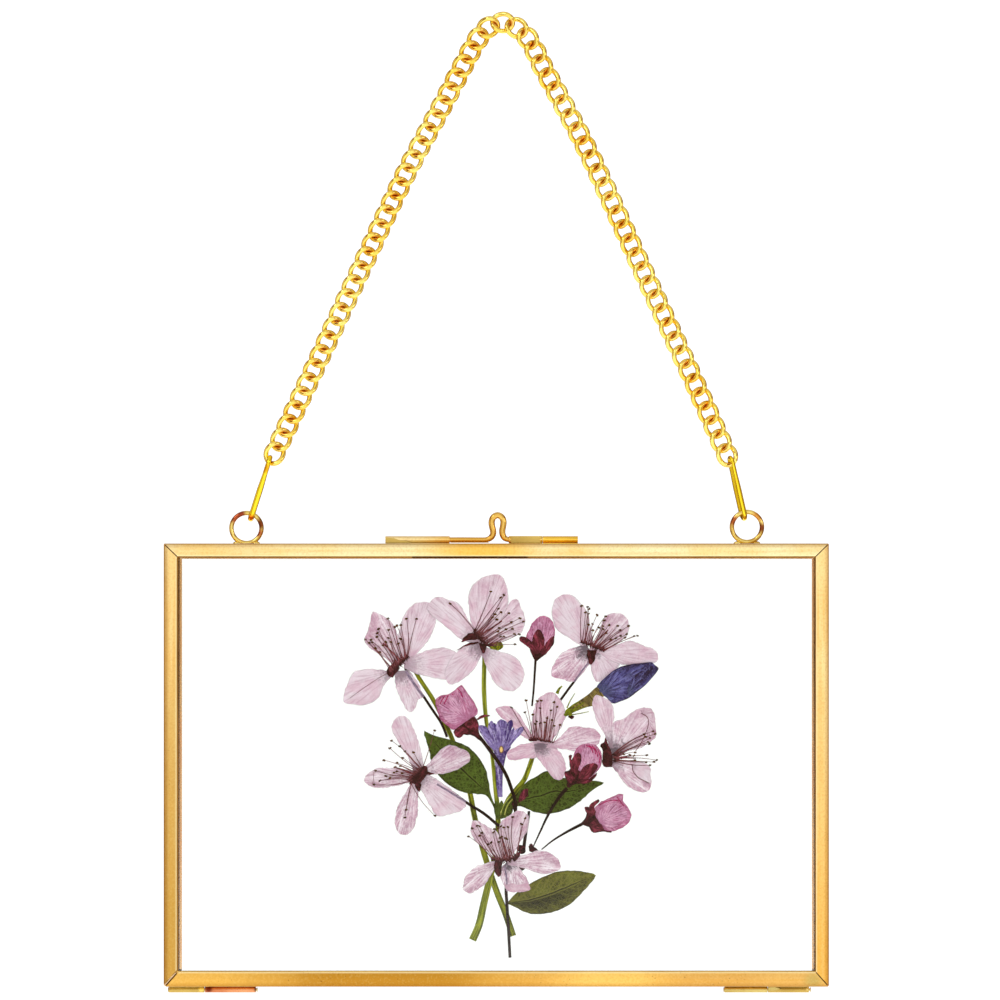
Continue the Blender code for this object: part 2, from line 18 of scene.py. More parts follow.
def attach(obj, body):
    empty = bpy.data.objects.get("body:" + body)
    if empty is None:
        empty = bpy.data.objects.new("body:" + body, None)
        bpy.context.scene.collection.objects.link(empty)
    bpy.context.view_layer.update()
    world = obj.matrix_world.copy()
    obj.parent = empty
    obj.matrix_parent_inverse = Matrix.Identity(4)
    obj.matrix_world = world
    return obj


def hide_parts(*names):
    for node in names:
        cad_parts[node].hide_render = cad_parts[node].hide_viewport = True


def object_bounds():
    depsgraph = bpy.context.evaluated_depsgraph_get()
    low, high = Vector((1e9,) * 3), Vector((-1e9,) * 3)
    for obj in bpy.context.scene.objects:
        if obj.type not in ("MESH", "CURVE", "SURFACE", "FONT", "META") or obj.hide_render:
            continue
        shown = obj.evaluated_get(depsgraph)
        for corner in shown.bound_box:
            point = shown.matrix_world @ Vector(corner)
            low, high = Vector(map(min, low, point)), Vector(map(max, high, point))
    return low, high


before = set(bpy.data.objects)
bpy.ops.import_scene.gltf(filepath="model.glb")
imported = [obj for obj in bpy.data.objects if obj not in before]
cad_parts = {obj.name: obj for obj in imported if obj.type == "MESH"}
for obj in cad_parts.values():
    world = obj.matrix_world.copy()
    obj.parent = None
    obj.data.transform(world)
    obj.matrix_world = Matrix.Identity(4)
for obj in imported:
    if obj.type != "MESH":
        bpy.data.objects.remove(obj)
cad_box = [list(corner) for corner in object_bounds()]

# %% [markdown]
# ## Places
#
# Most outlines were read from the photograph, so they stay in its pixels, and one
# function turns a pixel into metres in the plane of the frame. The frame is known to be
# 158 mm wide, which gives the size of a pixel. The origin is where a nail carries the
# chain, +Z is up and the viewer stands at -Y.

# %% Pixels to metres
MM = 0.001
METRE_PER_PX = 158.0 * MM / 664.5
MIDDLE_PX = 496.3
HANG_PX = 30.5


def place(px, py, y=0.0):
    """A pixel of the photograph as a point of the frame, at depth y."""
    return Vector(((px - MIDDLE_PX) * METRE_PER_PX, y, (HANG_PX - py) * METRE_PER_PX))


FRAME_WIDTH = 158.0 * MM
FRAME_TOP = place(0, 543.5).z
FRAME_BOTTOM = place(0, 986.2).z
FRAME_HEIGHT = FRAME_TOP - FRAME_BOTTOM
FRAME_CENTRE_Z = (FRAME_TOP + FRAME_BOTTOM) / 2
print("one pixel is", round(METRE_PER_PX / MM, 4), "mm; frame height",
      round(FRAME_HEIGHT / MM, 1), "mm")

# %% [markdown]
# ## Shader maths as Python
#
# A finish is easier to read as a formula than as a list of nodes. `Value` wraps the
# output of a node, so that `1 - mask * 0.5` adds its Math nodes by itself. `Finish`
# owns one material, and its `node` method adds every other kind of node: its settings
# are set first, then its sockets get values or links. `coats` lays one colour over
# another, as thin coats of paint do, each with the share that it covers.

# %% Two small classes for node trees
class Value:
    """An output socket that can be used in sums."""

    def __init__(self, finish, socket):
        self.finish, self.socket = finish, socket

    def maths(self, operation, *inputs):
        return self.finish.node("ShaderNodeMath", {"operation": operation},
                                dict(enumerate(inputs)))

    def __add__(self, other):
        return self.maths("ADD", self, other)

    def __sub__(self, other):
        return self.maths("SUBTRACT", self, other)

    def __rsub__(self, other):
        return self.maths("SUBTRACT", other, self)

    def __mul__(self, other):
        return self.maths("MULTIPLY", self, other)

    def __abs__(self):
        return self.maths("ABSOLUTE", self)

    __radd__, __rmul__ = __add__, __mul__

    def sine(self):
        return self.maths("SINE", self)

    def between(self, low, high):
        """0 where the value is low or less, 1 where it is high or more, smooth between."""
        return self.finish.node("ShaderNodeMapRange", {"interpolation_type": "SMOOTHSTEP"},
                                {"Value": self, "From Min": low, "From Max": high})


class Finish:
    """One node tree under construction, for a material or for the world."""

    def __init__(self, owner):
        owner.use_nodes = True
        self.owner, self.tree = owner, owner.node_tree

    def node(self, kind, settings=None, inputs=None, output=0):
        made = self.tree.nodes.new(kind)
        for name, setting in (settings or {}).items():
            setattr(made, name, setting)
        self.feed(made, inputs or {})
        return Value(self, made.outputs[output])

    def feed(self, node, inputs):
        for name, value in inputs.items():
            if isinstance(value, Value):
                self.tree.links.new(value.socket, node.inputs[name])
            else:
                node.inputs[name].default_value = value

    def where(self, kind="Object"):
        return self.node("ShaderNodeTexCoord", output=kind)

    def chart(self):
        return self.node("ShaderNodeUVMap", {"uv_map": "UVMap"})

    def part(self, vector, index):
        """One of the three numbers of a vector."""
        return self.node("ShaderNodeSeparateXYZ", inputs={0: vector}, output=index)

    def layers(self, *names):
        """Attributes of the mesh, from 0 to 1."""
        return [self.node("ShaderNodeAttribute", {"attribute_name": name}, output="Fac")
                for name in names]

    def mix(self, share, *ends):
        """Blends two colours, of which three plain numbers stand for a screen tone."""
        first, second = (tone(*end) if isinstance(end, tuple) and len(end) == 3 else end
                         for end in ends)
        return self.node("ShaderNodeMix", {"data_type": "RGBA"},
                         {0: share, 6: first, 7: second}, output=2)

    def coats(self, colour, *coats):
        for share, coat in coats:
            colour = self.mix(share, colour, coat)
        return colour

    def noise(self, where, scale, detail=2.0, stretch=None, bend=0.0):
        if stretch:
            where = self.node("ShaderNodeVectorMath", {"operation": "MULTIPLY"},
                              {0: where, 1: stretch})
        return self.node("ShaderNodeTexNoise", {}, {
            "Vector": where, "Scale": scale, "Detail": detail, "Distortion": bend}, "Fac")

    def principled(self, **sockets):
        """Sets the sockets of the shader; an underscore stands for a space."""
        shader = self.tree.nodes["Principled BSDF"]
        self.feed(shader, {name.replace("_", " "): value for name, value in sockets.items()})
        return self.owner

    def bump(self, height, distance, strength):
        return self.node("ShaderNodeBump", {}, {
            "Height": height, "Distance": distance, "Strength": strength})

    @classmethod
    def named(cls, name):
        return cls(bpy.data.materials.new(name))


def tone(*parts):
    """A colour as a screen shows it, 0 to 255, turned into the linear one shaders use."""
    shares = [part / 255 for part in parts]
    return (*(share / 12.92 if share <= 0.04045 else ((share + 0.055) / 1.055) ** 2.4
              for share in shares), 1.0)


print("a mid tone is", round(tone(128, 128, 128)[0], 3), "in linear light")

# %% [markdown]
# ## The brass finishes
#
# The frame's folded sheet is satin brass: warm, a little cloudy where it has
# tarnished, with a few dark specks. The chain is plated and polished, so it is yellower
# and sharper. The hinges are the same brass gone coppery. One function makes them all
# from two tones, a roughness and a few marks: stains, darker and more orange tones
# towards the bottom, and painted light and shade on edges, folds, wires and links,
# because they differ only in those numbers.

# %% Make the metals
def metal(name, light, deep, roughness, specks=0.0, grain=0.02 * MM, patch=70.0,
          lower_tones=None, stains_and_glints=(), painted_shade_colour=None, rolled=None):
    """lower_tones holds the colours that the lower part of the frame turns towards, left and
    right; each of stains_and_glints is a place, a radius and a colour, some stains and some
    painted highlights and painted reflections; painted_shade_colour is painted shade where
    the shade attribute marks crossing or turned-away wire; rolled draws the fine lines along
    a strip of sheet, and then the margin attribute paints a highlight along its inner edge
    and the blush attribute paints shade on its outer fold."""
    finish = Finish.named(name)
    where = finish.where()
    cloud = finish.noise(where, patch, 3.0).between(0.35, 0.7)
    fine = finish.noise(where, 2500.0, 2.0)
    colour = finish.mix(cloud, light, deep)
    crowd = finish.noise(where, 60.0, 1.0).between(0.42, 0.60)
    spot = finish.noise(where, 2300.0, 1.0).between(0.70, 0.78) * crowd * specks
    if rolled:
        line = finish.noise(where, 1.0, 2.0, stretch=rolled)
        colour = finish.coats(colour, (line.between(0.50, 0.62) * 0.24, (226, 176, 84)),
                              ((1 - line).between(0.52, 0.64) * 0.30, (255, 246, 190)))
    # Darker and more orange towards the bottom of the frame, with more specks there.
    if lower_tones:
        side, height = finish.part(where, 0), finish.part(where, 2)
        low = 1 - (height + side * 0.25 + cloud * 0.02).between(FRAME_BOTTOM - 0.005,
                                                                FRAME_TOP + 0.01)
        colour = finish.mix(low * 0.9, colour, finish.mix(side.between(-0.05, 0.05), *lower_tones))
        spot = spot * (low * 0.8 + 0.2)
    # Stains, and on some metals painted highlights and painted reflections, each round a place.
    for middle, radius, mark_colour in stains_and_glints:
        away = finish.node("ShaderNodeVectorMath", {"operation": "DISTANCE"},
                           {0: where, 1: place(*middle)}, output=1)
        colour = finish.mix(1 - (away + cloud * 0.2 * radius).between(
            radius * 0.4, radius * 1.5), colour, mark_colour)
    if rolled:
        # Painted light: a pale highlight along the sheet's inner edge from the margin attribute,
        # and painted shade on its outer fold from the blush attribute.
        edge, fold = finish.layers("margin", "blush")
        mottle = finish.noise(where, 2000.0, 4.0, bend=0.5)
        colour = finish.coats(colour, (mottle.between(0.50, 0.60) * 0.20, (204, 152, 60)),
                              ((1 - mottle).between(0.52, 0.62) * 0.10, (255, 236, 150)),
                              (fold * 0.55, (160, 106, 36)), (edge * 0.95, (255, 244, 190)))
    # Painted shade where chain links cross and along the long links' sides, from the shade
    # attribute.
    if painted_shade_colour:
        colour = finish.mix(finish.layers("shade")[0] * 0.65, colour, painted_shade_colour)
    return finish.principled(
        Base_Color=finish.mix(spot, colour, (120, 70, 25)), Metallic=1.0,
        Roughness=cloud * 0.06 + fine * 0.08 + (roughness - 0.07),
        Normal=finish.bump(fine, grain, 0.25))


SATIN_BRASS = metal(
    "satin brass", (255, 242, 190), (252, 222, 148), 0.32, specks=0.9,
    rolled=(30.0, 600.0, 1100.0), lower_tones=((228, 174, 68), (214, 152, 40)), stains_and_glints=(
        ((482, 550, -4 * MM), 12.0 * MM, (250, 202, 96)),
        ((384, 979, -4 * MM), 31.0 * MM, (190, 136, 44)),
        ((610, 979, -4 * MM), 14.0 * MM, (244, 200, 106)),
        ((813, 981, -4 * MM), 2.3 * MM, (200, 172, 98))))
UPRIGHT_BRASS = metal(
    "satin brass upright", (252, 224, 156), (246, 204, 126), 0.32, specks=0.5,
    rolled=(1100.0, 600.0, 30.0), lower_tones=((198, 150, 58), (240, 170, 28)))
# The coppery colour on the inner side of each link's ends is painted shade, where neighbouring
# links cross.
GOLD_PLATE = metal("polished gold plate", (255, 236, 130), (252, 216, 86), 0.16,
                   grain=0.004 * MM, painted_shade_colour=(196, 100, 36))
# The long links get painted shade along their sides; the orange spots at their lower ends are
# painted reflections of the rings, and a darker orange patch lies near the left link's top.
BRIGHT_GOLD = metal("bright gold wire", (255, 232, 56), (255, 224, 40), 0.16,
                    grain=0.004 * MM, painted_shade_colour=(150, 104, 14), stains_and_glints=(
                        ((251, 519, 0.0), 1.1 * MM, (240, 106, 20)),
                        ((744.5, 520, 0.0), 0.9 * MM, (236, 140, 40)),
                        ((265, 468, -1.5 * MM), 1.2 * MM, (226, 166, 30))))
LATCH_BRASS = metal("latch wire brass", (236, 200, 108), (222, 174, 80), 0.24)
COPPERY_BRASS = metal("coppery brass", (238, 170, 120), (206, 124, 80), 0.3,
                      specks=0.6, stains_and_glints=(((208.8, 989.3, -0.7 * MM), 1.0 * MM, (120, 48, 28)),
                                          ((257, 989.3, -0.7 * MM), 0.7 * MM, (60, 24, 16))))
# The two bright spots are painted highlights, at the right end of the left front knuckle and the
# outer end of the right front knuckle.
OLIVE_BRASS = metal("matt olive brass", (214, 186, 104), (188, 158, 80), 0.5, stains_and_glints=(
    ((201.5, 989, -0.7 * MM), 0.7 * MM, (252, 226, 120)),
    ((807.5, 989, -0.7 * MM), 0.4 * MM, (252, 230, 150))))
PALE_BRASS = metal("pale brass", (212, 192, 118), (178, 150, 74), 0.26, patch=200.0)
KNURLED_BRASS = metal("knurled brass", (250, 208, 84), (220, 170, 50), 0.22,
                      grain=0.12 * MM)
# A smoother, peach copy of the brass for the back bars' faces that look at the viewer: painted
# light on the lip seen through the glass.
PAINTED_LIP_BRASS = metal("brass lip with painted light", (255, 204, 140), (248, 180, 118), 0.13)
SOLDER = metal("dark solder", (104, 66, 30), (70, 42, 18), 0.6)
# The dark hem bands paint the shade line round the opening, and the paler copy paints a highlight
# along the bottom.
PAINTED_SHADE_HEM = metal("hem with painted shade", (164, 118, 54), (134, 92, 38), 0.4)
PAINTED_HIGHLIGHT_HEM = metal("hem with painted highlight", (222, 184, 110), (200, 160, 86), 0.4)
# A pale coppery band paints the highlight on the cut edge in the open seam.
GLINT_BRASS = metal("cut edge with painted copper glint", (255, 222, 176), (240, 186, 130), 0.35)
print(len(bpy.data.materials), "materials so far")

# %% [markdown]
# ## The glass
#
# Two flat panes, each 2 mm thick. Plain transmission with the refraction of window
# glass is all that they need. A faint green absorption shows only at the edges.

# %% Make the glass
GLASS = Finish.named("clear glass").principled(
    Base_Color=(0.985, 1.0, 0.993, 1.0), Roughness=0.0, IOR=1.5, Transmission_Weight=1.0)
panes = [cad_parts[name].data for name in ("front_glass", "back_glass")]
for pane in panes:
    pane.materials.clear()
    pane.materials.append(GLASS)
print("glazed", [len(pane.polygons) for pane in panes])

# %% [markdown]
# ## From a bmesh to a piece
#
# Every piece starts as a bmesh with the same layers: a UV map for veins and streaks, and
# four numbers for every vertex. On a petal, `margin` is 1 along the edge, `blush` makes
# it pinker, `shade` greys it near the heart and `crinkle` says how strongly its wrinkles
# and their painted light and shade show. On metal, `margin` paints a highlight along a
# bar's inner edge, `blush` paints shade on its outer fold and `shade` paints shade where
# chain links cross and along the long links' sides. `piece` closes the seams, turns the
# faces outwards, smooths what is round, and hangs the form on a CAD body. With `inside`
# it gives the faces that look at the viewer a second finish.

# %% Helpers that every piece shares
LAYERS = ("margin", "blush", "shade", "crinkle")


def new_form():
    form = bmesh.new()
    form.loops.layers.uv.new("UVMap")
    for layer in LAYERS:
        form.verts.layers.float.new(layer)
    return form


def mesh_of(name, form):
    mesh = bpy.data.meshes.new(name)
    form.to_mesh(mesh)
    form.free()
    return mesh


def put(name, data):
    thing = bpy.data.objects.new(name, data)
    bpy.context.scene.collection.objects.link(thing)
    return thing


def piece(name, form, material, slot, body="back_frame", stands_for=(), thickness=0.0,
          sharp=35.0, inside=None):
    bmesh.ops.remove_doubles(form, verts=form.verts, dist=0.2e-6)
    bmesh.ops.recalc_face_normals(form, faces=form.faces)
    for face in form.faces:
        face.material_index = int(inside is not None and face.normal.y < -0.5)
    mesh = mesh_of(name, form)
    mesh.shade_smooth()
    mesh.set_sharp_from_angle(angle=math.radians(sharp))
    for used in filter(None, (material, inside)):
        mesh.materials.append(used)
    thing = put(name, mesh)
    if thickness:
        wall = thing.modifiers.new("Thickness", "SOLIDIFY")
        wall.thickness, wall.offset = thickness, 0.0
    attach(thing, body)
    if stands_for:
        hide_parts(*stands_for)
    return thing


def count(things):
    return [len(thing.data.polygons) for thing in things]


def through(points, per_span=8):
    """A smooth curve through the points (Catmull-Rom)."""
    ends = [points[0] * 2 - points[1], *points, points[-1] * 2 - points[-2]]
    curve = []
    for before, start, end, after in zip(ends, ends[1:], ends[2:], ends[3:]):
        for step in range(per_span):
            t = step / per_span
            curve.append(0.5 * (2 * start + (end - before) * t
                                + (2 * before - 5 * start + 4 * end - after) * t ** 2
                                + (3 * start - before - 3 * end + after) * t ** 3))
    return curve + [points[-1]]


def drawn(points_px, y=0.0, per_span=6):
    """A smooth curve through pixels of the photograph, at depth y."""
    return through([place(px, py, y) for px, py in points_px], per_span)


def evenly(points, count):
    """count points at equal steps along a polyline."""
    lengths = [0.0]
    for start, end in zip(points, points[1:]):
        lengths.append(lengths[-1] + (end - start).length)
    spaced, span = [], 0
    for index in range(count):
        target = lengths[-1] * index / (count - 1)
        while span < len(points) - 2 and lengths[span + 1] < target:
            span += 1
        reach = max(lengths[span + 1] - lengths[span], 1e-12)
        spaced.append(points[span].lerp(points[span + 1], (target - lengths[span]) / reach))
    return spaced


def tube(form, points, radii, sides=12, cyclic=False, flatten=1.0):
    """Adds a tube to the form; radii holds a radius per point, or one for all."""
    curve = bpy.data.curves.new("route", "CURVE")
    curve.dimensions, curve.bevel_depth = "3D", 1.0
    curve.bevel_resolution = (sides - 4) // 2
    curve.use_fill_caps = not cyclic
    spline = curve.splines.new("POLY")
    spline.points.add(len(points) - 1)
    if not isinstance(radii, list):
        radii = [radii] * len(points)
    for knot, point, radius in zip(spline.points, points, radii):
        knot.co, knot.radius = (*point, 1.0), radius
    spline.use_cyclic_u = cyclic
    route = bpy.data.objects.new("route", curve)
    mesh = bpy.data.meshes.new_from_object(route)
    if flatten != 1.0:
        level = sum(point.y for point in points) / len(points)
        mesh.transform(Matrix.Translation((0, level, 0)) @ Matrix.Diagonal((1, flatten, 1, 1))
                       @ Matrix.Translation((0, -level, 0)))
    form.from_mesh(mesh)
    bpy.data.objects.remove(route)
    bpy.data.curves.remove(curve)
    bpy.data.meshes.remove(mesh)


def lay(form, verts, middle, size, turn):
    """Scales some vertices, turns them about Y and moves them."""
    bmesh.ops.scale(form, verts=verts, vec=size)
    bmesh.ops.rotate(form, verts=verts, matrix=Matrix.Rotation(turn, 3, "Y"))
    bmesh.ops.translate(form, verts=verts, vec=middle)


def band(form, middle, size, turn=0.0):
    lay(form, bmesh.ops.create_cube(form, size=1.0)["verts"], middle, size, turn)


def ball(form, middle, size, turn=0.0, rounds=2):
    drop = bmesh.ops.create_icosphere(form, subdivisions=rounds, radius=1.0)
    lay(form, drop["verts"], middle, size, turn)


def sweep(form, corners, along):
    """Closes the corners into a face and extrudes it."""
    swept = bmesh.ops.extrude_face_region(form, geom=[form.faces.new(corners)])
    moved = [item for item in swept["geom"] if isinstance(item, bmesh.types.BMVert)]
    bmesh.ops.translate(form, verts=moved, vec=along)


def spin(form, profile, steps, closed=False):
    """Turns a profile of pairs, along X and away from it, into a round body."""
    knots = [form.verts.new((x, 0.0, away)) for x, away in profile]
    lines = [form.edges.new(pair) for pair in zip(knots, knots[1:] + knots[:1] * closed)]
    bmesh.ops.spin(form, geom=knots + lines, cent=(0, 0, 0), axis=(1, 0, 0),
                   angle=2 * math.pi, steps=steps, use_merge=True)


def cut_away(form, point, normal):
    """Cuts off what lies beyond a plane and closes the cut."""
    cut = bmesh.ops.bisect_plane(form, geom=form.verts[:] + form.edges[:] + form.faces[:],
                                 plane_co=point, plane_no=normal, clear_outer=True)
    rim = [item for item in cut["geom_cut"] if isinstance(item, bmesh.types.BMEdge)]
    bmesh.ops.holes_fill(form, edges=rim)


print("helpers ready")

# %% [markdown]
# ## The folded brass bars
#
# Each half of the frame is four bars of folded sheet, mitred at the corners. A bar
# could be a box with bevels, but the real one is a channel that holds the pane, and its
# face is slightly domed, which is what draws the soft light and dark bands along it. So
# the section of the channel is extruded once and cut at both mitres, as a metalworker
# would do it. A painted highlight runs along the face's inner edge and painted shade
# along its outer fold, and the seam at the lower left stands open.

# %% Fold and mitre the bars
HALF_DEPTH = 4.0 * MM
PARTING = 0.15 * MM
SHEET = 0.6 * MM
FLANGES = {
    "front": {"top": 3.02 * MM, "bottom": 3.5 * MM, "left": 3.12 * MM, "right": 3.1 * MM},
    "back": {"top": 3.65 * MM, "bottom": 3.6 * MM, "left": 4.2 * MM, "right": 3.9 * MM}}
DOME = {"front": 0.34 * MM, "back": 0.05 * MM}
INNER_FLANGE = 2.2 * MM
FOLD_RADIUS = 0.45 * MM
EDGE_RADIUS = 0.10 * MM
PAINTED_HIGHLIGHT_WIDTH = 0.36 * MM
PAINTED_SHADE_WIDTH = 1.1 * MM
MITRE_GAP = {"front": 0.17 * MM, "back": 0.03 * MM}
OPEN_SEAM, OPENING = {"bottom", "left"}, 2.8


def channel_section(half, edge):
    """The folded sheet's outline: distance in from the outer edge, and depth."""
    outer, flange, dome = PARTING + HALF_DEPTH, FLANGES[half][edge], DOME[half]
    section = [(0.0, PARTING)]
    for turn in (0.0, 22.5, 45.0, 67.5, 90.0):
        angle = math.radians(turn)
        section.append((FOLD_RADIUS * (1 - math.cos(angle)),
                        outer - dome - FOLD_RADIUS * (1 - math.sin(angle))))
    for step in range(1, 12):
        share = step / 12
        section.append((FOLD_RADIUS + (flange - FOLD_RADIUS - EDGE_RADIUS) * share,
                        outer - dome * ((1 - share) ** 3 + 0.2 * share ** 5)))
    for turn in (90.0, 45.0, 0.0):
        angle = math.radians(turn)
        section.append((flange - EDGE_RADIUS * (1 - math.cos(angle)),
                        outer - dome * 0.2 - EDGE_RADIUS * (1 - math.sin(angle))))
    section += [(flange, outer - SHEET), (SHEET, outer - SHEET), (SHEET, PARTING + SHEET),
                (INNER_FLANGE, PARTING + SHEET), (INNER_FLANGE, PARTING)]
    side = -1 if half == "front" else 1
    return [(inward, side * depth) for inward, depth in section]


def bar(half, edge):
    along_x = edge in ("top", "bottom")
    length, across = (FRAME_WIDTH, FRAME_HEIGHT) if along_x else (FRAME_HEIGHT, FRAME_WIDTH)
    reach, flange = across / 2, FLANGES[half]
    ring = ("top", "right", "bottom", "left")
    form, outline = new_form(), []
    painted_light_and_shade, painted_shade = (form.verts.layers.float[layer] for layer in ("margin", "blush"))
    for inward, depth in channel_section(half, edge):
        vert = form.verts.new((-length / 2, depth, reach - inward))
        if abs(depth) > PARTING + SHEET:
            # Painted highlight along the face's inner edge, painted shade along the outer fold.
            vert[painted_light_and_shade] = max(0.0, 1 - (flange[edge] - inward) / PAINTED_HIGHLIGHT_WIDTH)
            vert[painted_shade] = max(0.0, 1 - inward / PAINTED_SHADE_WIDTH)
        outline.append(vert)
    sweep(form, outline, (length, 0.0, 0.0))
    for end in (-1, 1):
        beside = ring[(ring.index(edge) + end) % 4]
        gap = MITRE_GAP[half] * (OPENING if {edge, beside} == OPEN_SEAM else 1)
        cut_away(form, (end * (length / 2 - gap), 0.0, reach),
                 (end * flange[edge], 0.0, -flange[beside]))
    turn = {"top": 0, "left": -1, "bottom": 2, "right": 1}[edge] * math.pi / 2
    bmesh.ops.transform(form, verts=form.verts, matrix=(
        Matrix.Translation((0, 0, FRAME_CENTRE_Z)) @ Matrix.Rotation(turn, 4, "Y")))
    # The back bars' faces that look at the viewer get the peach copy of brass that paints light on
    # the lip.
    return piece(f"{half}_{edge}_folded_bar", form,
                 SATIN_BRASS if along_x else UPRIGHT_BRASS, "brass",
                 body=f"{half}_frame", stands_for=[f"{half}_{edge}_bar"], sharp=30,
                 inside=PAINTED_LIP_BRASS if half == "back" else None)


bars = [bar(half, edge) for half in ("front", "back")
        for edge in ("top", "bottom", "left", "right")]
print(len(bars), "bars,", sum(count(bars)), "faces")

# %% [markdown]
# ## Solder in the corners, and a hem of painted shade
#
# The dark line at each corner is the seam between two mitred bars, with old solder
# behind it, so a thin strip of dark metal lies under each seam. The dark line round the
# opening is painted shade: a thin band like a hem, folded back under the face, that
# stands in a little further than the face. Its four bands are dark, but for the paler
# one at the bottom, which paints a highlight, and a darker stretch of the upper one paints
# the shadow behind the latch. In the open seam at the lower left a pale coppery band
# paints the highlight on the cut edge of the sheet.

# %% Lay the solder and the hem
FACE = PARTING + HALF_DEPTH - SHEET
HEM = {"top": 0.30 * MM, "bottom": 0.22 * MM, "left": 0.34 * MM, "right": 0.20 * MM}
HEM_Y = -(FACE - 0.06 * MM)
SOLDER_SEAM = 0.35 * MM
HIDDEN_HEM = 0.8 * MM


def corner_solder(half):
    form = new_form()
    side, widest = (-1, max) if half == "front" else (1, min)
    for across, upright in ((-1, "left"), (1, "right")):
        for up, level in ((-1, "bottom"), (1, "top")):
            reach = widest(FLANGES[half][upright], FLANGES[half][level]) - SOLDER_SEAM
            inset = 0.2 * MM + reach / 2
            band(form, (across * (FRAME_WIDTH / 2 - inset), side * (FACE - 0.1 * MM),
                        FRAME_CENTRE_Z + up * (FRAME_HEIGHT / 2 - inset)),
                 (reach * 1.22, 0.22 * MM, 0.6 * MM), -across * up * math.pi / 4)
    return piece(f"{half}_corner_solder", form, SOLDER, "brass", body=f"{half}_frame")


def front_band(name, material, middle, size, turn=0.0):
    form = new_form()
    band(form, middle, size, turn)
    return piece(f"front_{name}", form, material, "brass", body="front_frame")


# Bands that paint the shade line round the opening, and at the bottom a paler band that paints a
# highlight.
def hem(edge):
    flange, width = FLANGES["front"], HEM[edge] + HIDDEN_HEM
    inset = flange[edge] + HEM[edge] - width / 2
    way = 1 if edge in ("top", "right") else -1
    middle = (0, HEM_Y, FRAME_CENTRE_Z + way * (FRAME_HEIGHT / 2 - inset))
    size = (FRAME_WIDTH - 2 * flange["left"], 0.14 * MM, width)
    if edge in ("left", "right"):
        middle = (way * (FRAME_WIDTH / 2 - inset), HEM_Y, FRAME_CENTRE_Z)
        size = (width, 0.13 * MM, FRAME_HEIGHT - 2 * flange["top"])
    return front_band(f"{edge}_hem", PAINTED_HIGHLIGHT_HEM if edge == "bottom" else PAINTED_SHADE_HEM, middle, size)


# Painted highlight: the cut edge in the open seam at the lower left.
def seam_glint():
    start, end = place(165.0, 985.6), place(176.6, 972.6)
    line, middle = end - start, (start + end) / 2 + Vector((-0.12, 0, 0.08)) * MM
    return front_band("seam_glint", GLINT_BRASS,
                      (middle.x, -(PARTING + HALF_DEPTH - 0.42 * MM), middle.z),
                      (line.length, 0.5 * MM, 0.15 * MM), math.atan2(-line.z, line.x))


seam_glint()
solders = [corner_solder(half) for half in ("front", "back")]
hems = [hem(edge) for edge in HEM]
# Painted shadow: a darker stretch on the upper hem, behind the latch.
hems.append(front_band(
    "top_hem_painted_shadow", SOLDER,
    (place(470, 0).x, HEM_Y, FRAME_TOP - FLANGES["front"]["top"] - 0.1 * MM),
    (27.5 * MM, 0.16 * MM, 0.66 * MM)))
print("corner solder:", count(solders), "faces, and", len(hems), "hems")

# %% [markdown]
# ## Hinges and latch tubes
#
# A knuckle of the hinge and a tube of the latch are the same thing: a strip of sheet
# rolled into a tube, with its tail soldered flat on the frame. The tube is a short
# section spun about its axis, and its rims are bevelled. The tail is a thin plate from the
# tube to the bar, towards the half that it belongs to. A few flat patches of sheet and
# solder lie on and beside the tubes, and a pale tapered plate on the right hinge paints
# a highlight.

# %% Roll the tubes
HINGE_Z = FRAME_BOTTOM - 0.81 * MM
LATCH_Z = place(0, 539.6).z
TAIL = 3.2 * MM
RIM_BEVEL = 0.07 * MM


def rolled_tube(node, span_px, material, body, z, radius, bore, slot, sides):
    start, end = (place(px, 0).x for px in span_px)
    form = new_form()
    spin(form, ((start, bore), (start, radius), (end, radius), (end, bore)), sides,
         closed=True)
    bmesh.ops.remove_doubles(form, verts=form.verts, dist=1e-6)
    rims = [edge for edge in form.edges
            if abs(edge.verts[0].co.x - edge.verts[1].co.x) < 1e-7
            and all(abs(vert.co.yz.length - radius) < 1e-6 for vert in edge.verts)]
    bmesh.ops.bevel(form, geom=rims, affect="EDGES", offset=RIM_BEVEL, segments=2,
                    profile=0.5, material=-1)
    bmesh.ops.translate(form, verts=form.verts, vec=(0, 0, z))
    down, bar_z = (-1, FRAME_TOP) if z > FRAME_CENTRE_Z else (1, FRAME_BOTTOM)
    side = -1 if body == "front_frame" else 1
    tube_edge = z + down * radius * 0.97
    band(form, ((start + end) / 2, side * TAIL / 2, (bar_z + tube_edge) / 2),
         (end - start - 0.1 * MM, TAIL, abs(bar_z - tube_edge)))
    return piece(f"{node}_rolled", form, material, slot, body=body, stands_for=[node])


HINGES = (
    ("left_hinge_front_knuckle", (169.0, 204.5), OLIVE_BRASS, "front_frame"),
    ("left_hinge_back_knuckle", (204.9, 256.0), COPPERY_BRASS, "back_frame"),
    ("right_hinge_front_knuckle", (767.9, 808.9), OLIVE_BRASS, "front_frame"),
    ("right_hinge_back_knuckle", (724.4, 767.5), PALE_BRASS, "back_frame"),
)
for row in HINGES:
    rolled_tube(*row, HINGE_Z, 0.68 * MM, 0.38 * MM, "reddish_brass", 24)
LATCHES = (
    ("latch_left_tube", (385.3, 449.7), SATIN_BRASS, "back_frame"),
    ("latch_middle_tube", (508.7, 542.65), LATCH_BRASS, "back_frame"),
    ("latch_right_tube", (542.75, 577.9), KNURLED_BRASS, "front_frame"),
)
for row in LATCHES:
    rolled_tube(*row, LATCH_Z, 0.82 * MM, 0.68 * MM, "brass", 28)
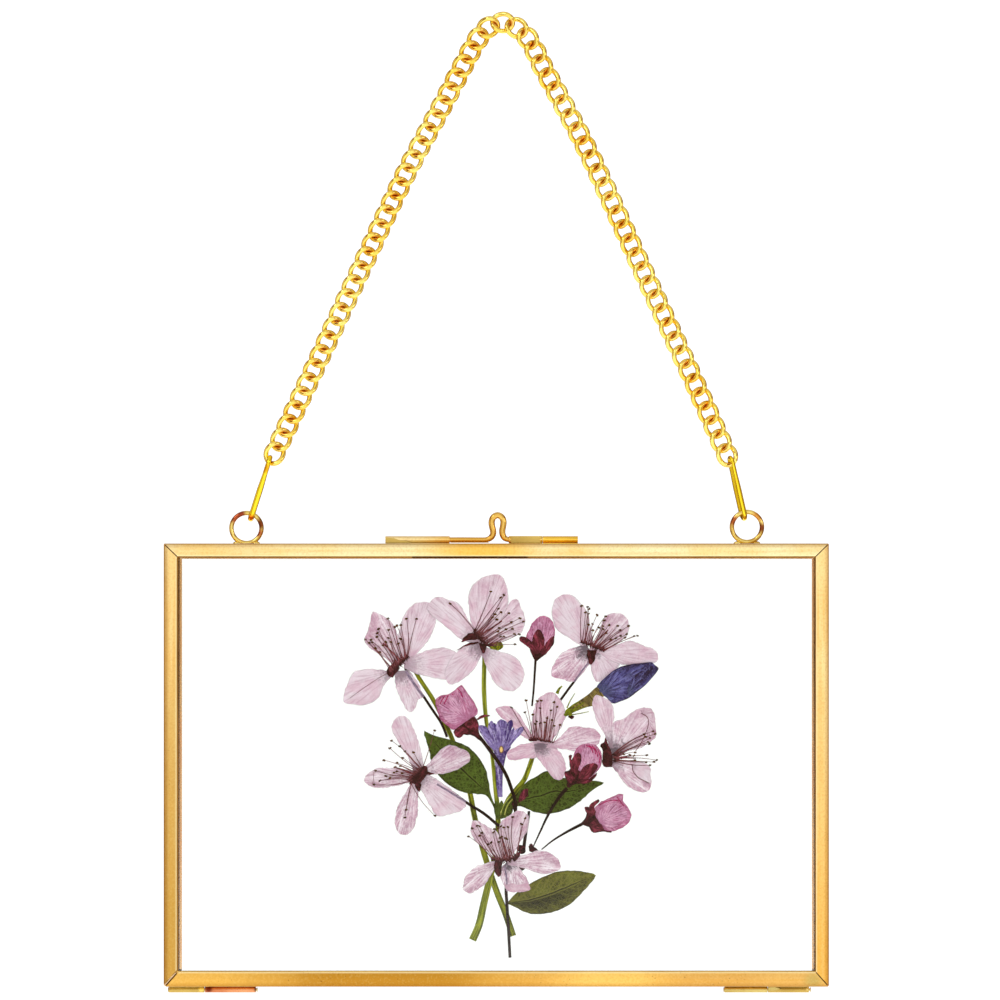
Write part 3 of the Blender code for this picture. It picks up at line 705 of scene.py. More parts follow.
PATCHES = (
    ("latch_middle_plate", -1.05, 0.2, OLIVE_BRASS, "brass", "back_frame", (
        (508.8, 536.0), (542.3, 536.0), (539.4, 538.8), (540.6, 542.7), (511.6, 542.7),
        (509.2, 540.4), (512.0, 538.6))),
    ("latch_left_solder", -0.95, 0.1, OLIVE_BRASS, "brass", "back_frame", (
        (385.6, 537.2), (394.0, 538.2), (399.5, 540.2), (406.5, 540.6), (411.0, 542.6),
        (385.6, 542.6))),
    ("latch_sill", 0.64, 0.6, LATCH_BRASS, "brass", "back_frame", (
        (450.4, 541.3), (487.0, 541.3), (489.5, 542.8), (450.4, 542.8))),
    # A pale tapered plate in front of the right hinge's front knuckle paints a highlight.
    ("right_hinge_taper", -0.80, 0.1, PALE_BRASS, "reddish_brass", "front_frame", (
        (768.2, 987.3), (775.0, 987.2), (780.5, 988.8), (774.5, 990.4), (768.2, 990.6))),
)
for name, depth, thick, material, slot, body, outline in PATCHES:
    form = new_form()
    sweep(form, [form.verts.new(place(px, py, depth * MM)) for px, py in outline],
          (0, thick * MM, 0))
    piece(name, form, material, slot, body=body)
print(len(HINGES), "knuckles,", len(LATCHES), "latch tubes and", len(PATCHES), "patches")

# %% [markdown]
# ## Hinge pins
#
# A thin wire runs through the knuckles of each hinge and ends in a small flattened
# head on either side. A spun profile gives both heads and the wire in one piece.

# %% Turn the pins
def hinge_pin(name, span_px):
    start, end = (place(px, 0).x for px in span_px)
    wire, head, depth = 0.30 * MM, 0.56 * MM, 0.2 * MM
    form = new_form()
    spin(form, [(start, 0.0), (start, head * 0.8), (start + depth * 0.35, head),
                (start + depth, head), (start + depth, wire), (end - depth, wire),
                (end - depth, head), (end - depth * 0.35, head), (end, head * 0.8),
                (end, 0.0)], 20)
    bmesh.ops.translate(form, verts=form.verts, vec=(0, 0, HINGE_Z))
    return piece(f"{name}_turned", form, PALE_BRASS, "reddish_brass", stands_for=[name])


pins = [hinge_pin("left_hinge_pin", (168.0, 257.6)), hinge_pin("right_hinge_pin", (723.4, 810.8))]
print("pins:", count(pins), "faces")

# %% [markdown]
# ## The latch wire
#
# One wire slides in the tubes. In the middle it is bent up into a loop with a narrow
# neck, which a finger pushes. Its route is a list of points through which a smooth curve
# runs, so the bends are round like bent wire. The wire is a little thicker round the
# loop.

# %% Bend the latch wire
LATCH_ROUTE_PX = (
    (426.0, 539.7), (450.0, 539.7), (466.0, 539.7), (480.0, 539.8), (486.4, 539.6),
    (490.6, 537.9), (493.0, 534.2), (493.0, 530.2), (492.0, 526.0), (491.7, 521.4),
    (493.5, 517.2), (497.6, 515.2), (501.7, 517.2), (503.5, 521.4), (503.1, 526.0),
    (502.3, 530.2), (502.6, 534.4), (504.6, 538.0), (508.6, 539.6), (514.0, 539.7),
    (541.0, 539.7),
)
LOOP_REACH = 4.6 * MM
form = new_form()
route = evenly(drawn(LATCH_ROUTE_PX), 160)
bend = place(497.6, 524)
radii = [(0.58 + 0.17 * max(0.0, 1 - ((point - bend).length / LOOP_REACH) ** 4)) * MM
         for point in route]
tube(form, route, radii, sides=16)
latch_wire = piece("latch_pin_bent_wire", form, LATCH_BRASS, "brass", body="latch",
                   stands_for=["latch_pin"])
print("latch wire:", count([latch_wire]), "faces")

# %% [markdown]
# ## Hanging rings
#
# Two rings of round wire are soldered on the top bar. A full spin of a small circle
# makes the ring, a plane cuts it flat at the bar, and a blob of solder spreads on each
# side of its foot.

# %% Make the rings
RING_RADIUS = 3.58 * MM
RING_WIRE = 0.55 * MM
RING_DEPTH = 2.2 * MM


def hanging_ring(name, centre_px):
    centre = place(*centre_px, RING_DEPTH)
    form = new_form()
    wire = bmesh.ops.create_circle(form, segments=16, radius=RING_WIRE)["verts"]
    bmesh.ops.translate(form, verts=wire, vec=(RING_RADIUS, 0, 0))
    bmesh.ops.spin(form, geom=form.verts[:] + form.edges[:], cent=(0, 0, 0), axis=(0, 1, 0),
                   angle=2 * math.pi, steps=64, use_merge=True)
    bmesh.ops.remove_doubles(form, verts=form.verts, dist=1e-6)
    floor = FRAME_TOP + 0.02 * MM
    for side in (-1, 1):
        ball(form, (side * 2.25 * MM, 0, floor - centre.z + 0.02 * MM),
             (0.95 * MM, 0.60 * MM, 0.50 * MM), rounds=3)
    cut_away(form, (0, 0, floor - centre.z), (0, 0, -1))
    bmesh.ops.translate(form, verts=form.verts, vec=centre)
    return piece(f"{name}_soldered", form, RING_BRASS, "brass", stands_for=[name])


RING_BRASS = metal(
    "patchy ring brass", (242, 220, 128), (206, 170, 84), 0.17, grain=0.005 * MM, patch=260.0,
    stains_and_glints=[((px, py, RING_DEPTH - RING_WIRE), size * MM, mark_colour) for px, py, size, mark_colour in (
        (236, 518, 1.5, (170, 84, 50)), (241, 514, 1.1, (150, 64, 40)),
        (260, 524, 1.4, (120, 60, 30)), (259, 533, 1.0, (186, 104, 60)),
        (734, 521, 1.3, (176, 96, 50)), (758, 516, 1.3, (214, 150, 70)),
        (761, 528, 1.2, (140, 74, 40)))])
rings = [hanging_ring("left_ring", (246.3, 528.1)), hanging_ring("right_ring", (747.1, 527.0))]
print("rings:", count(rings), "faces")

# %% [markdown]
# ## Long links
#
# A long narrow link joins each ring to the chain. It is seen on edge, the right one a
# little turned. It is a closed wire through two half circles, swept as a smooth tube,
# thinner near the top where its ends meet, with painted shade along its sides.

# %% Sweep the long links
LONG_LINK_BEND = 1.48 * MM
PINCHED_END = 4.6 * MM


def long_link(name, low_px, high_px, turn, wire):
    low, high = place(*low_px, RING_DEPTH), place(*high_px, 0.0)
    along = (high - low).normalized()
    depth = Vector((0, 1, 0))
    side = Matrix.Rotation(math.radians(turn), 3, along) @ (
        depth - along * along.y).normalized()
    arm = along * ((high - low).length - 2 * LONG_LINK_BEND)
    points = []
    for centre, way in ((high - along * LONG_LINK_BEND, 1), (low + along * LONG_LINK_BEND, -1)):
        for step in range(17):
            angle = math.pi * step / 16
            points.append(centre + way * (side * math.cos(angle) + along * math.sin(angle))
                          * LONG_LINK_BEND)
        start = points[-1]
        points += [start.lerp(start - way * arm, share)
                   for share in (0.08, 0.2, 0.22, 0.5, 0.8, 0.92)]
    radii = [wire * (0.80 if (high - point).length < PINCHED_END else 1.0) for point in points]
    form = new_form()
    tube(form, points, radii, sides=16, cyclic=True)
    # Painted shade along the link's sides.
    painted_shade = form.verts.layers.float["shade"]
    across = along.cross(depth).normalized()
    for vert in form.verts:
        vert[painted_shade] = abs((vert.co - low).dot(across)) > wire * 0.86
    return piece(f"{name}_wire", form, BRIGHT_GOLD, "gold_plate", stands_for=[name])


links = [long_link("left_long_link", (250.6, 518.6), (270.2, 457.4), 0.0, 0.69 * MM),
         long_link("right_long_link", (744.2, 518.6), (730.2, 457.4), 15.0, 0.54 * MM)]
print("long links:", count(links), "faces")

# %% [markdown]
# ## The curb chain
#
# In a curb chain every oval link is twisted, so that it lies flat while it passes
# through its neighbours. The twist follows a simple rule: a link's upper right and lower
# left arms stand forward and the other two stand back. A closed curve with that depth
# is swept once into a link, and copies of the link follow the chain's route, each turned
# a few degrees by chance, as real links hang.

# %% Hang the chain
CHAIN_ROUTE_PX = (
    (274.6, 453.4), (309.0, 380.0), (357.0, 277.0), (405.0, 175.0), (440.0, 109.5),
    (473.0, 46.8), (482.0, 34.4), (490.5, 25.6), (505.0, 22.3), (518.0, 28.6),
    (531.0, 42.3), (543.0, 67.0), (588.0, 151.0), (640.0, 264.0), (692.0, 376.5),
    (727.0, 454.8),
)
CHAIN_LINKS = 65
LINKS_LEFT = 33
LINK_WIRE = 0.59 * MM
LINK_WIDTH = 5.25 * MM
LINK_TWIST = 0.60 * MM


def curb_link(pitch):
    """One link about the origin: X runs along the chain, Z across it."""
    half_length = (pitch + 2 * LINK_WIRE) / 2
    half_width = LINK_WIDTH / 2 - LINK_WIRE
    points = []
    for step in range(32):
        t = 2 * math.pi * step / 32
        points.append(Vector((half_length * math.cos(t), -LINK_TWIST * math.sin(2 * t),
                              half_width * math.sin(t))))
    form = new_form()
    tube(form, points, LINK_WIRE, sides=12, cyclic=True)
    # Painted shade on the inner side of the link's ends, where its neighbours cross.
    painted_light_and_shade = form.verts.layers.float["shade"]
    for vert in form.verts:
        nearest = min(points, key=lambda point: (point - vert.co).length)
        inward = (vert.co - nearest).dot(Vector((-nearest.x, 0, -nearest.z)).normalized())
        at_end = (abs(nearest.x) / half_length - 0.82) / 0.16
        vert[painted_light_and_shade] = max(0.0, min(1.0, at_end)) * (inward > -0.25 * LINK_WIRE)
    return mesh_of("curb link", form)


route = through([place(px, py + 0.3) for px, py in CHAIN_ROUTE_PX], 8)
centres = evenly(route, CHAIN_LINKS)
pitch = (centres[1] - centres[0]).length
curb = curb_link(pitch)
chance = random.Random(4)
for name, first, last in (("chain_left", 0, LINKS_LEFT),
                          ("chain_right", LINKS_LEFT, CHAIN_LINKS)):
    form = new_form()
    for index in range(first, last):
        before, after = centres[max(index - 1, 0)], centres[min(index + 1, CHAIN_LINKS - 1)]
        along = (after - before).normalized()
        heading = Matrix.Rotation(math.atan2(-along.z, along.x), 4, "Y")
        sway = Euler([math.radians(chance.uniform(-4, 4)) for axis in range(3)]).to_matrix()
        copy = curb.copy()
        copy.transform(Matrix.Translation(centres[index]) @ heading @ sway.to_4x4())
        form.from_mesh(copy)
        bpy.data.meshes.remove(copy)
    run = piece(f"{name}_curb_links", form, GOLD_PLATE, "gold_plate", stands_for=[name])
    print(name, last - first, "links,", count([run]), "faces")
print("pitch", round(pitch / MM, 2), "mm")

# %% [markdown]
# ## Petals, leaves and buds from outlines
#
# A pressed petal is a thin sheet of any outline with a slight ripple. `blade` lays a
# grid between the two sides of an outline, from its foot to its tip, which keeps the
# faces even and lets veins follow the form. The UV map either fans out from the foot, as
# a petal's veins do, or runs straight, as a leaf's midrib does. `pillow` closes two such
# blades into a bud, and `thread` lays a thin round line, pressed flat. `ragged` roughens
# the two sides by no more than that distance. Its noise is seeded, so that every run
# gives the same edges.

# %% Grid between the two sides of an outline
noise.seed_set(7)


def sides_of(outline_px, rows, ragged):
    """The two edges of an outline from its foot to its tip, at rows + 1 heights."""
    around = drawn(outline_px)
    foot = (around[0] + around[-1]) / 2
    tip = max(range(len(around)), key=lambda i: (around[i] - foot).length)
    left, right = evenly(around[:tip + 1], rows + 1), evenly(around[tip:][::-1], rows + 1)
    for edge in (left, right):
        for row in range(2, rows + 1):
            edge[row] = edge[row] + noise.noise_vector(edge[row] * 1100) * ragged
    return left, right


def blade(form, outline_px, y, columns=12, rows=20, fan=True, ripple=0.04 * MM, crease=0.0,
          puff=0.0, ragged=0.0, blush=0.0, shade=0.0, crinkle=1.0, seed=0.0):
    uv = form.loops.layers.uv["UVMap"]
    margin, pinker, grey_near_heart, wrinkle = (form.verts.layers.float[layer] for layer in LAYERS)
    left, right = sides_of(outline_px, rows, ragged)
    foot = (left[0] + right[0]) / 2
    length, axis = (left[-1] - foot).length, (left[-1] - foot).normalized()
    across = Vector((axis.z, 0.0, -axis.x))
    grid = bmesh.ops.create_grid(form, x_segments=columns, y_segments=rows, size=0.5)["verts"]
    chart = {}
    for vert in grid:
        u, v = vert.co.x + 0.5, vert.co.y + 0.5
        row = round(v * rows)
        where = left[row].lerp(right[row], u)
        middle = max(4 * u * (1 - u), 0.0) ** 0.5
        swell = middle * max(min(math.sin(math.pi * min(v + 0.02, 1)) * 1.6, 1), 0.0)
        wave = noise.noise(where * 420 + Vector((seed, seed * 3, 0))) * ripple
        rib = math.sin(u * 19 + seed) * ripple * 0.35 * v
        rise = wave + rib - crease * (1 - abs(2 * u - 1)) ** 2 - puff * swell
        vert.co = (where.x, y + rise, where.z)
        vert[margin] = 1 - middle * min(math.cos(math.pi / 2 * v) * 5, 1)
        vert[pinker], vert[grey_near_heart], vert[wrinkle] = blush, shade, crinkle
        offset = where - foot
        chart[vert] = (u, v)
        if fan and offset.length > 1e-6:
            chart[vert] = (0.5 + math.atan2(offset.dot(across), offset.dot(axis)) / math.pi,
                           offset.length / length)
    for face in {face for vert in grid for face in vert.link_faces}:
        for loop in face.loops:
            loop[uv].uv = chart[loop.vert]
    return grid


def pillow(form, outline_px, y, depth, **how):
    """A closed, cushioned form: one blade bulges forward and one back."""
    for side in (1, -1):
        blade(form, outline_px, y, puff=side * depth, ripple=0.0, **how)


def plant(name, form, material, slot, **how):
    """A piece that is shaded smooth over all but its sharpest folds."""
    return piece(name, form, material, slot, sharp=60, **how)


def cushion(name, outline_px, y, depth, material, slot, **how):
    form = new_form()
    pillow(form, outline_px, y, depth, **how)
    return plant(name, form, material, slot)


def thread(form, line_px, y, radius, taper=0.0, sides=6, flatten=0.4):
    line = drawn(line_px, y, 5)
    tube(form, line, [radius * (1 - taper * step / len(line)) for step in range(len(line))],
         sides=sides, flatten=flatten)


print("blades, pillows and threads ready")

# %% [markdown]
# ## Petal, leaf and stem finishes
#
# Pressed petals are almost paper: pale pink, deeper at the heart and along the veins
# that fan out from the foot, and thin enough for a stem to show through. The vein
# pattern is noise stretched along the fan, and pale and dark bands along the folds and
# crumples paint the light and shade of the wrinkles. Leaves have a midrib with side
# veins, and one half of the olive leaf gets painted shade beside its midrib. Stems have
# streaks along them.

# %% Make the plant finishes
def petal_finish(name, light, pale, deep, vein, heart, rim, alpha=1.0, thin=0.0, veins=30.0,
                 lines=0.16, edge=0.6):
    finish = Finish.named(name)
    fan, where = finish.chart(), finish.where()
    margin, blush, shade, crinkle = finish.layers(*LAYERS)
    reach = finish.part(fan, 1)
    cloud = finish.noise(where, 330.0, 3.0)
    crumple = finish.noise(where, 1150.0, 4.0, bend=1.5)
    fold = finish.noise(fan, 1.0, 2.0, stretch=(veins, 2.0, 1.0), bend=0.4)
    hair = finish.noise(fan, 1.0, 2.0, stretch=(veins * 2.6, 2.4, 1.0), bend=0.2)
    grey_near_heart = 1 - (reach + crumple * 0.5).between(0.36, 0.66)
    colour = finish.coats(
        pale,
        (cloud.between(0.42, 0.62) * 0.5, deep),
        (blush * (margin * 0.8 + 0.6), deep),
        # Painted light and shade of the wrinkles: pale and dark bands along the folds and over the
        # crumples.
        ((1 - fold).between(0.50, 0.60) * crinkle * 0.65, light),
        (fold.between(0.53, 0.62) * crinkle * 0.48, vein),
        (hair.between(0.52, 0.60) * (crinkle * 0.3 + lines), vein),
        (crumple.between(0.54, 0.60) * crinkle * 0.30, light),
        ((1 - crumple).between(0.56, 0.62) * crinkle * 0.36, vein),
        (margin.between(0.6, 1.0) * edge, rim),
        ((1 - reach.between(0.02, 0.30)) * 0.5, heart),
        (shade * grey_near_heart, (84, 76, 88)))
    return finish.principled(
        Base_Color=colour, Roughness=0.8, Alpha=alpha - margin.between(0.7, 1.0) * thin,
        Specular_IOR_Level=0.08, Normal=finish.bump(fold + crumple, 0.12 * MM, 0.6))


def streaked_finish(name, light, dark, rough=0.7, streaks=9.0):
    """For stems and filaments, whose UV map runs along them and then round them."""
    finish = Finish.named(name)
    line = finish.noise(finish.chart(), 1.0, 3.0, stretch=(6.0, streaks, 1.0))
    cloud = finish.noise(finish.where(), 330.0, 3.0)
    colour = finish.coats(light, (line.between(0.42, 0.58), dark),
                          (cloud.between(0.45, 0.65) * 0.5, dark))
    return finish.principled(Base_Color=colour, Roughness=rough, Specular_IOR_Level=0.1,
                             Normal=finish.bump(line, 0.08 * MM, 0.5))


def leaf_finish(name, light, dark, rib, glint, halves=0.0):
    """halves says how much darker the half of the leaf beyond its midrib is."""
    finish = Finish.named(name)
    chart, where = finish.chart(), finish.where()
    across, up = finish.part(chart, 0), finish.part(chart, 1)
    away = abs(across - 0.5) * 2
    cloud = finish.noise(where, 230.0, 5.0)
    grain = finish.noise(where, 1500.0, 3.0, bend=1.0)
    net = finish.node("ShaderNodeTexVoronoi", {"feature": "DISTANCE_TO_EDGE"},
                      {"Vector": where, "Scale": 1150.0}, "Distance")
    side_vein = ((up - away * 0.22) * 56 + cloud * 5).sine().between(0.72, 1.0)
    shadow = across.between(0.47, 0.53) * (1 - away.between(0.25, 1.0) * 0.6)
    shadow = shadow * (1 - up.between(0.35, 0.95) * 0.7) * halves
    lit = 1 - shadow * 0.75
    colour = finish.coats(
        light,
        (cloud.between(0.36, 0.70) * 0.6, dark),
        (shadow, dark),
        (grain.between(0.46, 0.62) * 0.34 * lit, glint),
        ((1 - grain).between(0.46, 0.66) * 0.22, rib),
        ((1 - net.between(0.02, 0.18)) * 0.50 * lit, glint),
        (side_vein * 0.45 * lit, glint),
        ((1 - abs(away - 0.07).between(0.0, 0.06)) * 0.6, glint),
        ((1 - away.between(0.015, 0.055)) * 0.9, rib),
        (away.between(0.9, 1.0) * 0.5, rib))
    return finish.principled(
        Base_Color=colour, Roughness=0.65, Specular_IOR_Level=0.1,
        Normal=finish.bump(net + side_vein * 0.5 + grain, 0.1 * MM, 0.7))


PETAL = petal_finish(
    "pressed petal", (244, 236, 243), (228, 214, 224), (214, 168, 190), (168, 114, 142),
    (178, 138, 158), (240, 230, 238), alpha=0.85, thin=0.3, lines=0.26)
BUD_PETAL = petal_finish(
    "pink bud petal", (228, 190, 212), (198, 148, 176), (178, 92, 134), (120, 52, 92),
    (158, 96, 132), (140, 56, 98), veins=26, lines=0.6)
VIOLET_PETAL = petal_finish(
    "violet petal", (190, 176, 216), (140, 122, 182), (58, 42, 104), (44, 28, 84),
    (124, 108, 166), (50, 34, 90), veins=16, lines=0.6, edge=0.7)
BLUE_PETAL = petal_finish(
    "blue bud petal", (116, 116, 174), (76, 74, 132), (34, 28, 64), (18, 14, 40),
    (66, 78, 106), (16, 12, 32), veins=24, lines=0.4, edge=0.9)
CALYX = petal_finish(
    "maroon calyx", (96, 30, 44), (56, 17, 28), (30, 8, 16), (13, 3, 8), (30, 10, 20),
    (14, 4, 9), veins=14, lines=0.4, edge=0.8)
RED_CALYX = petal_finish(
    "reddish calyx", (160, 60, 82), (92, 28, 44), (58, 15, 29), (34, 8, 18), (54, 14, 28),
    (34, 8, 18), veins=16, lines=0.5, edge=0.8)
FILAMENT = streaked_finish("filament", (130, 70, 76), (72, 30, 38), streaks=3)
ANTHER = streaked_finish("anther", (112, 76, 46), (26, 15, 13), rough=0.8, streaks=3)
RIDGE = streaked_finish("stem under a petal", (158, 136, 158), (100, 86, 110), streaks=6)
GREEN_STEM = streaked_finish("green stem", (140, 146, 26), (66, 74, 8))
PALE_STEM = streaked_finish("pale green stem", (150, 156, 44), (80, 92, 16))
DARK_STEM = streaked_finish("dark stem", (34, 17, 19), (8, 3, 5))
STEM_EDGE = streaked_finish("dry stem edge", (196, 196, 100), (140, 146, 52))
CRIMSON = streaked_finish("crimson fold", (190, 44, 104), (112, 16, 58), streaks=3)
OLIVE_CUP = streaked_finish("olive bud cup", (158, 136, 70), (66, 58, 34), streaks=30)
GREEN_LEAF = leaf_finish("green leaf", (47, 65, 8), (20, 30, 3), (6, 10, 1), (84, 106, 34))
OLIVE_LEAF = leaf_finish("olive leaf", (90, 92, 24), (22, 27, 1), (20, 22, 3),
                         (116, 116, 44), halves=1.0)
POLLEN = streaked_finish("yellow heart", (250, 222, 146), (206, 156, 80))
THROAT = streaked_finish("brown throat", (150, 106, 70), (86, 56, 70), streaks=4)
print(len(bpy.data.materials), "materials in all")

# %% [markdown]
# ## The blossoms
#
# Each blossom is five thin petals, a dark heart with pointed sepals, and a tuft of
# stamens: fine filaments, each with a small dark anther. All of them are pressed flat,
# so what lies over something else only has a slightly nearer depth. The outlines go
# from one side of a petal's foot round its tip to the other side.

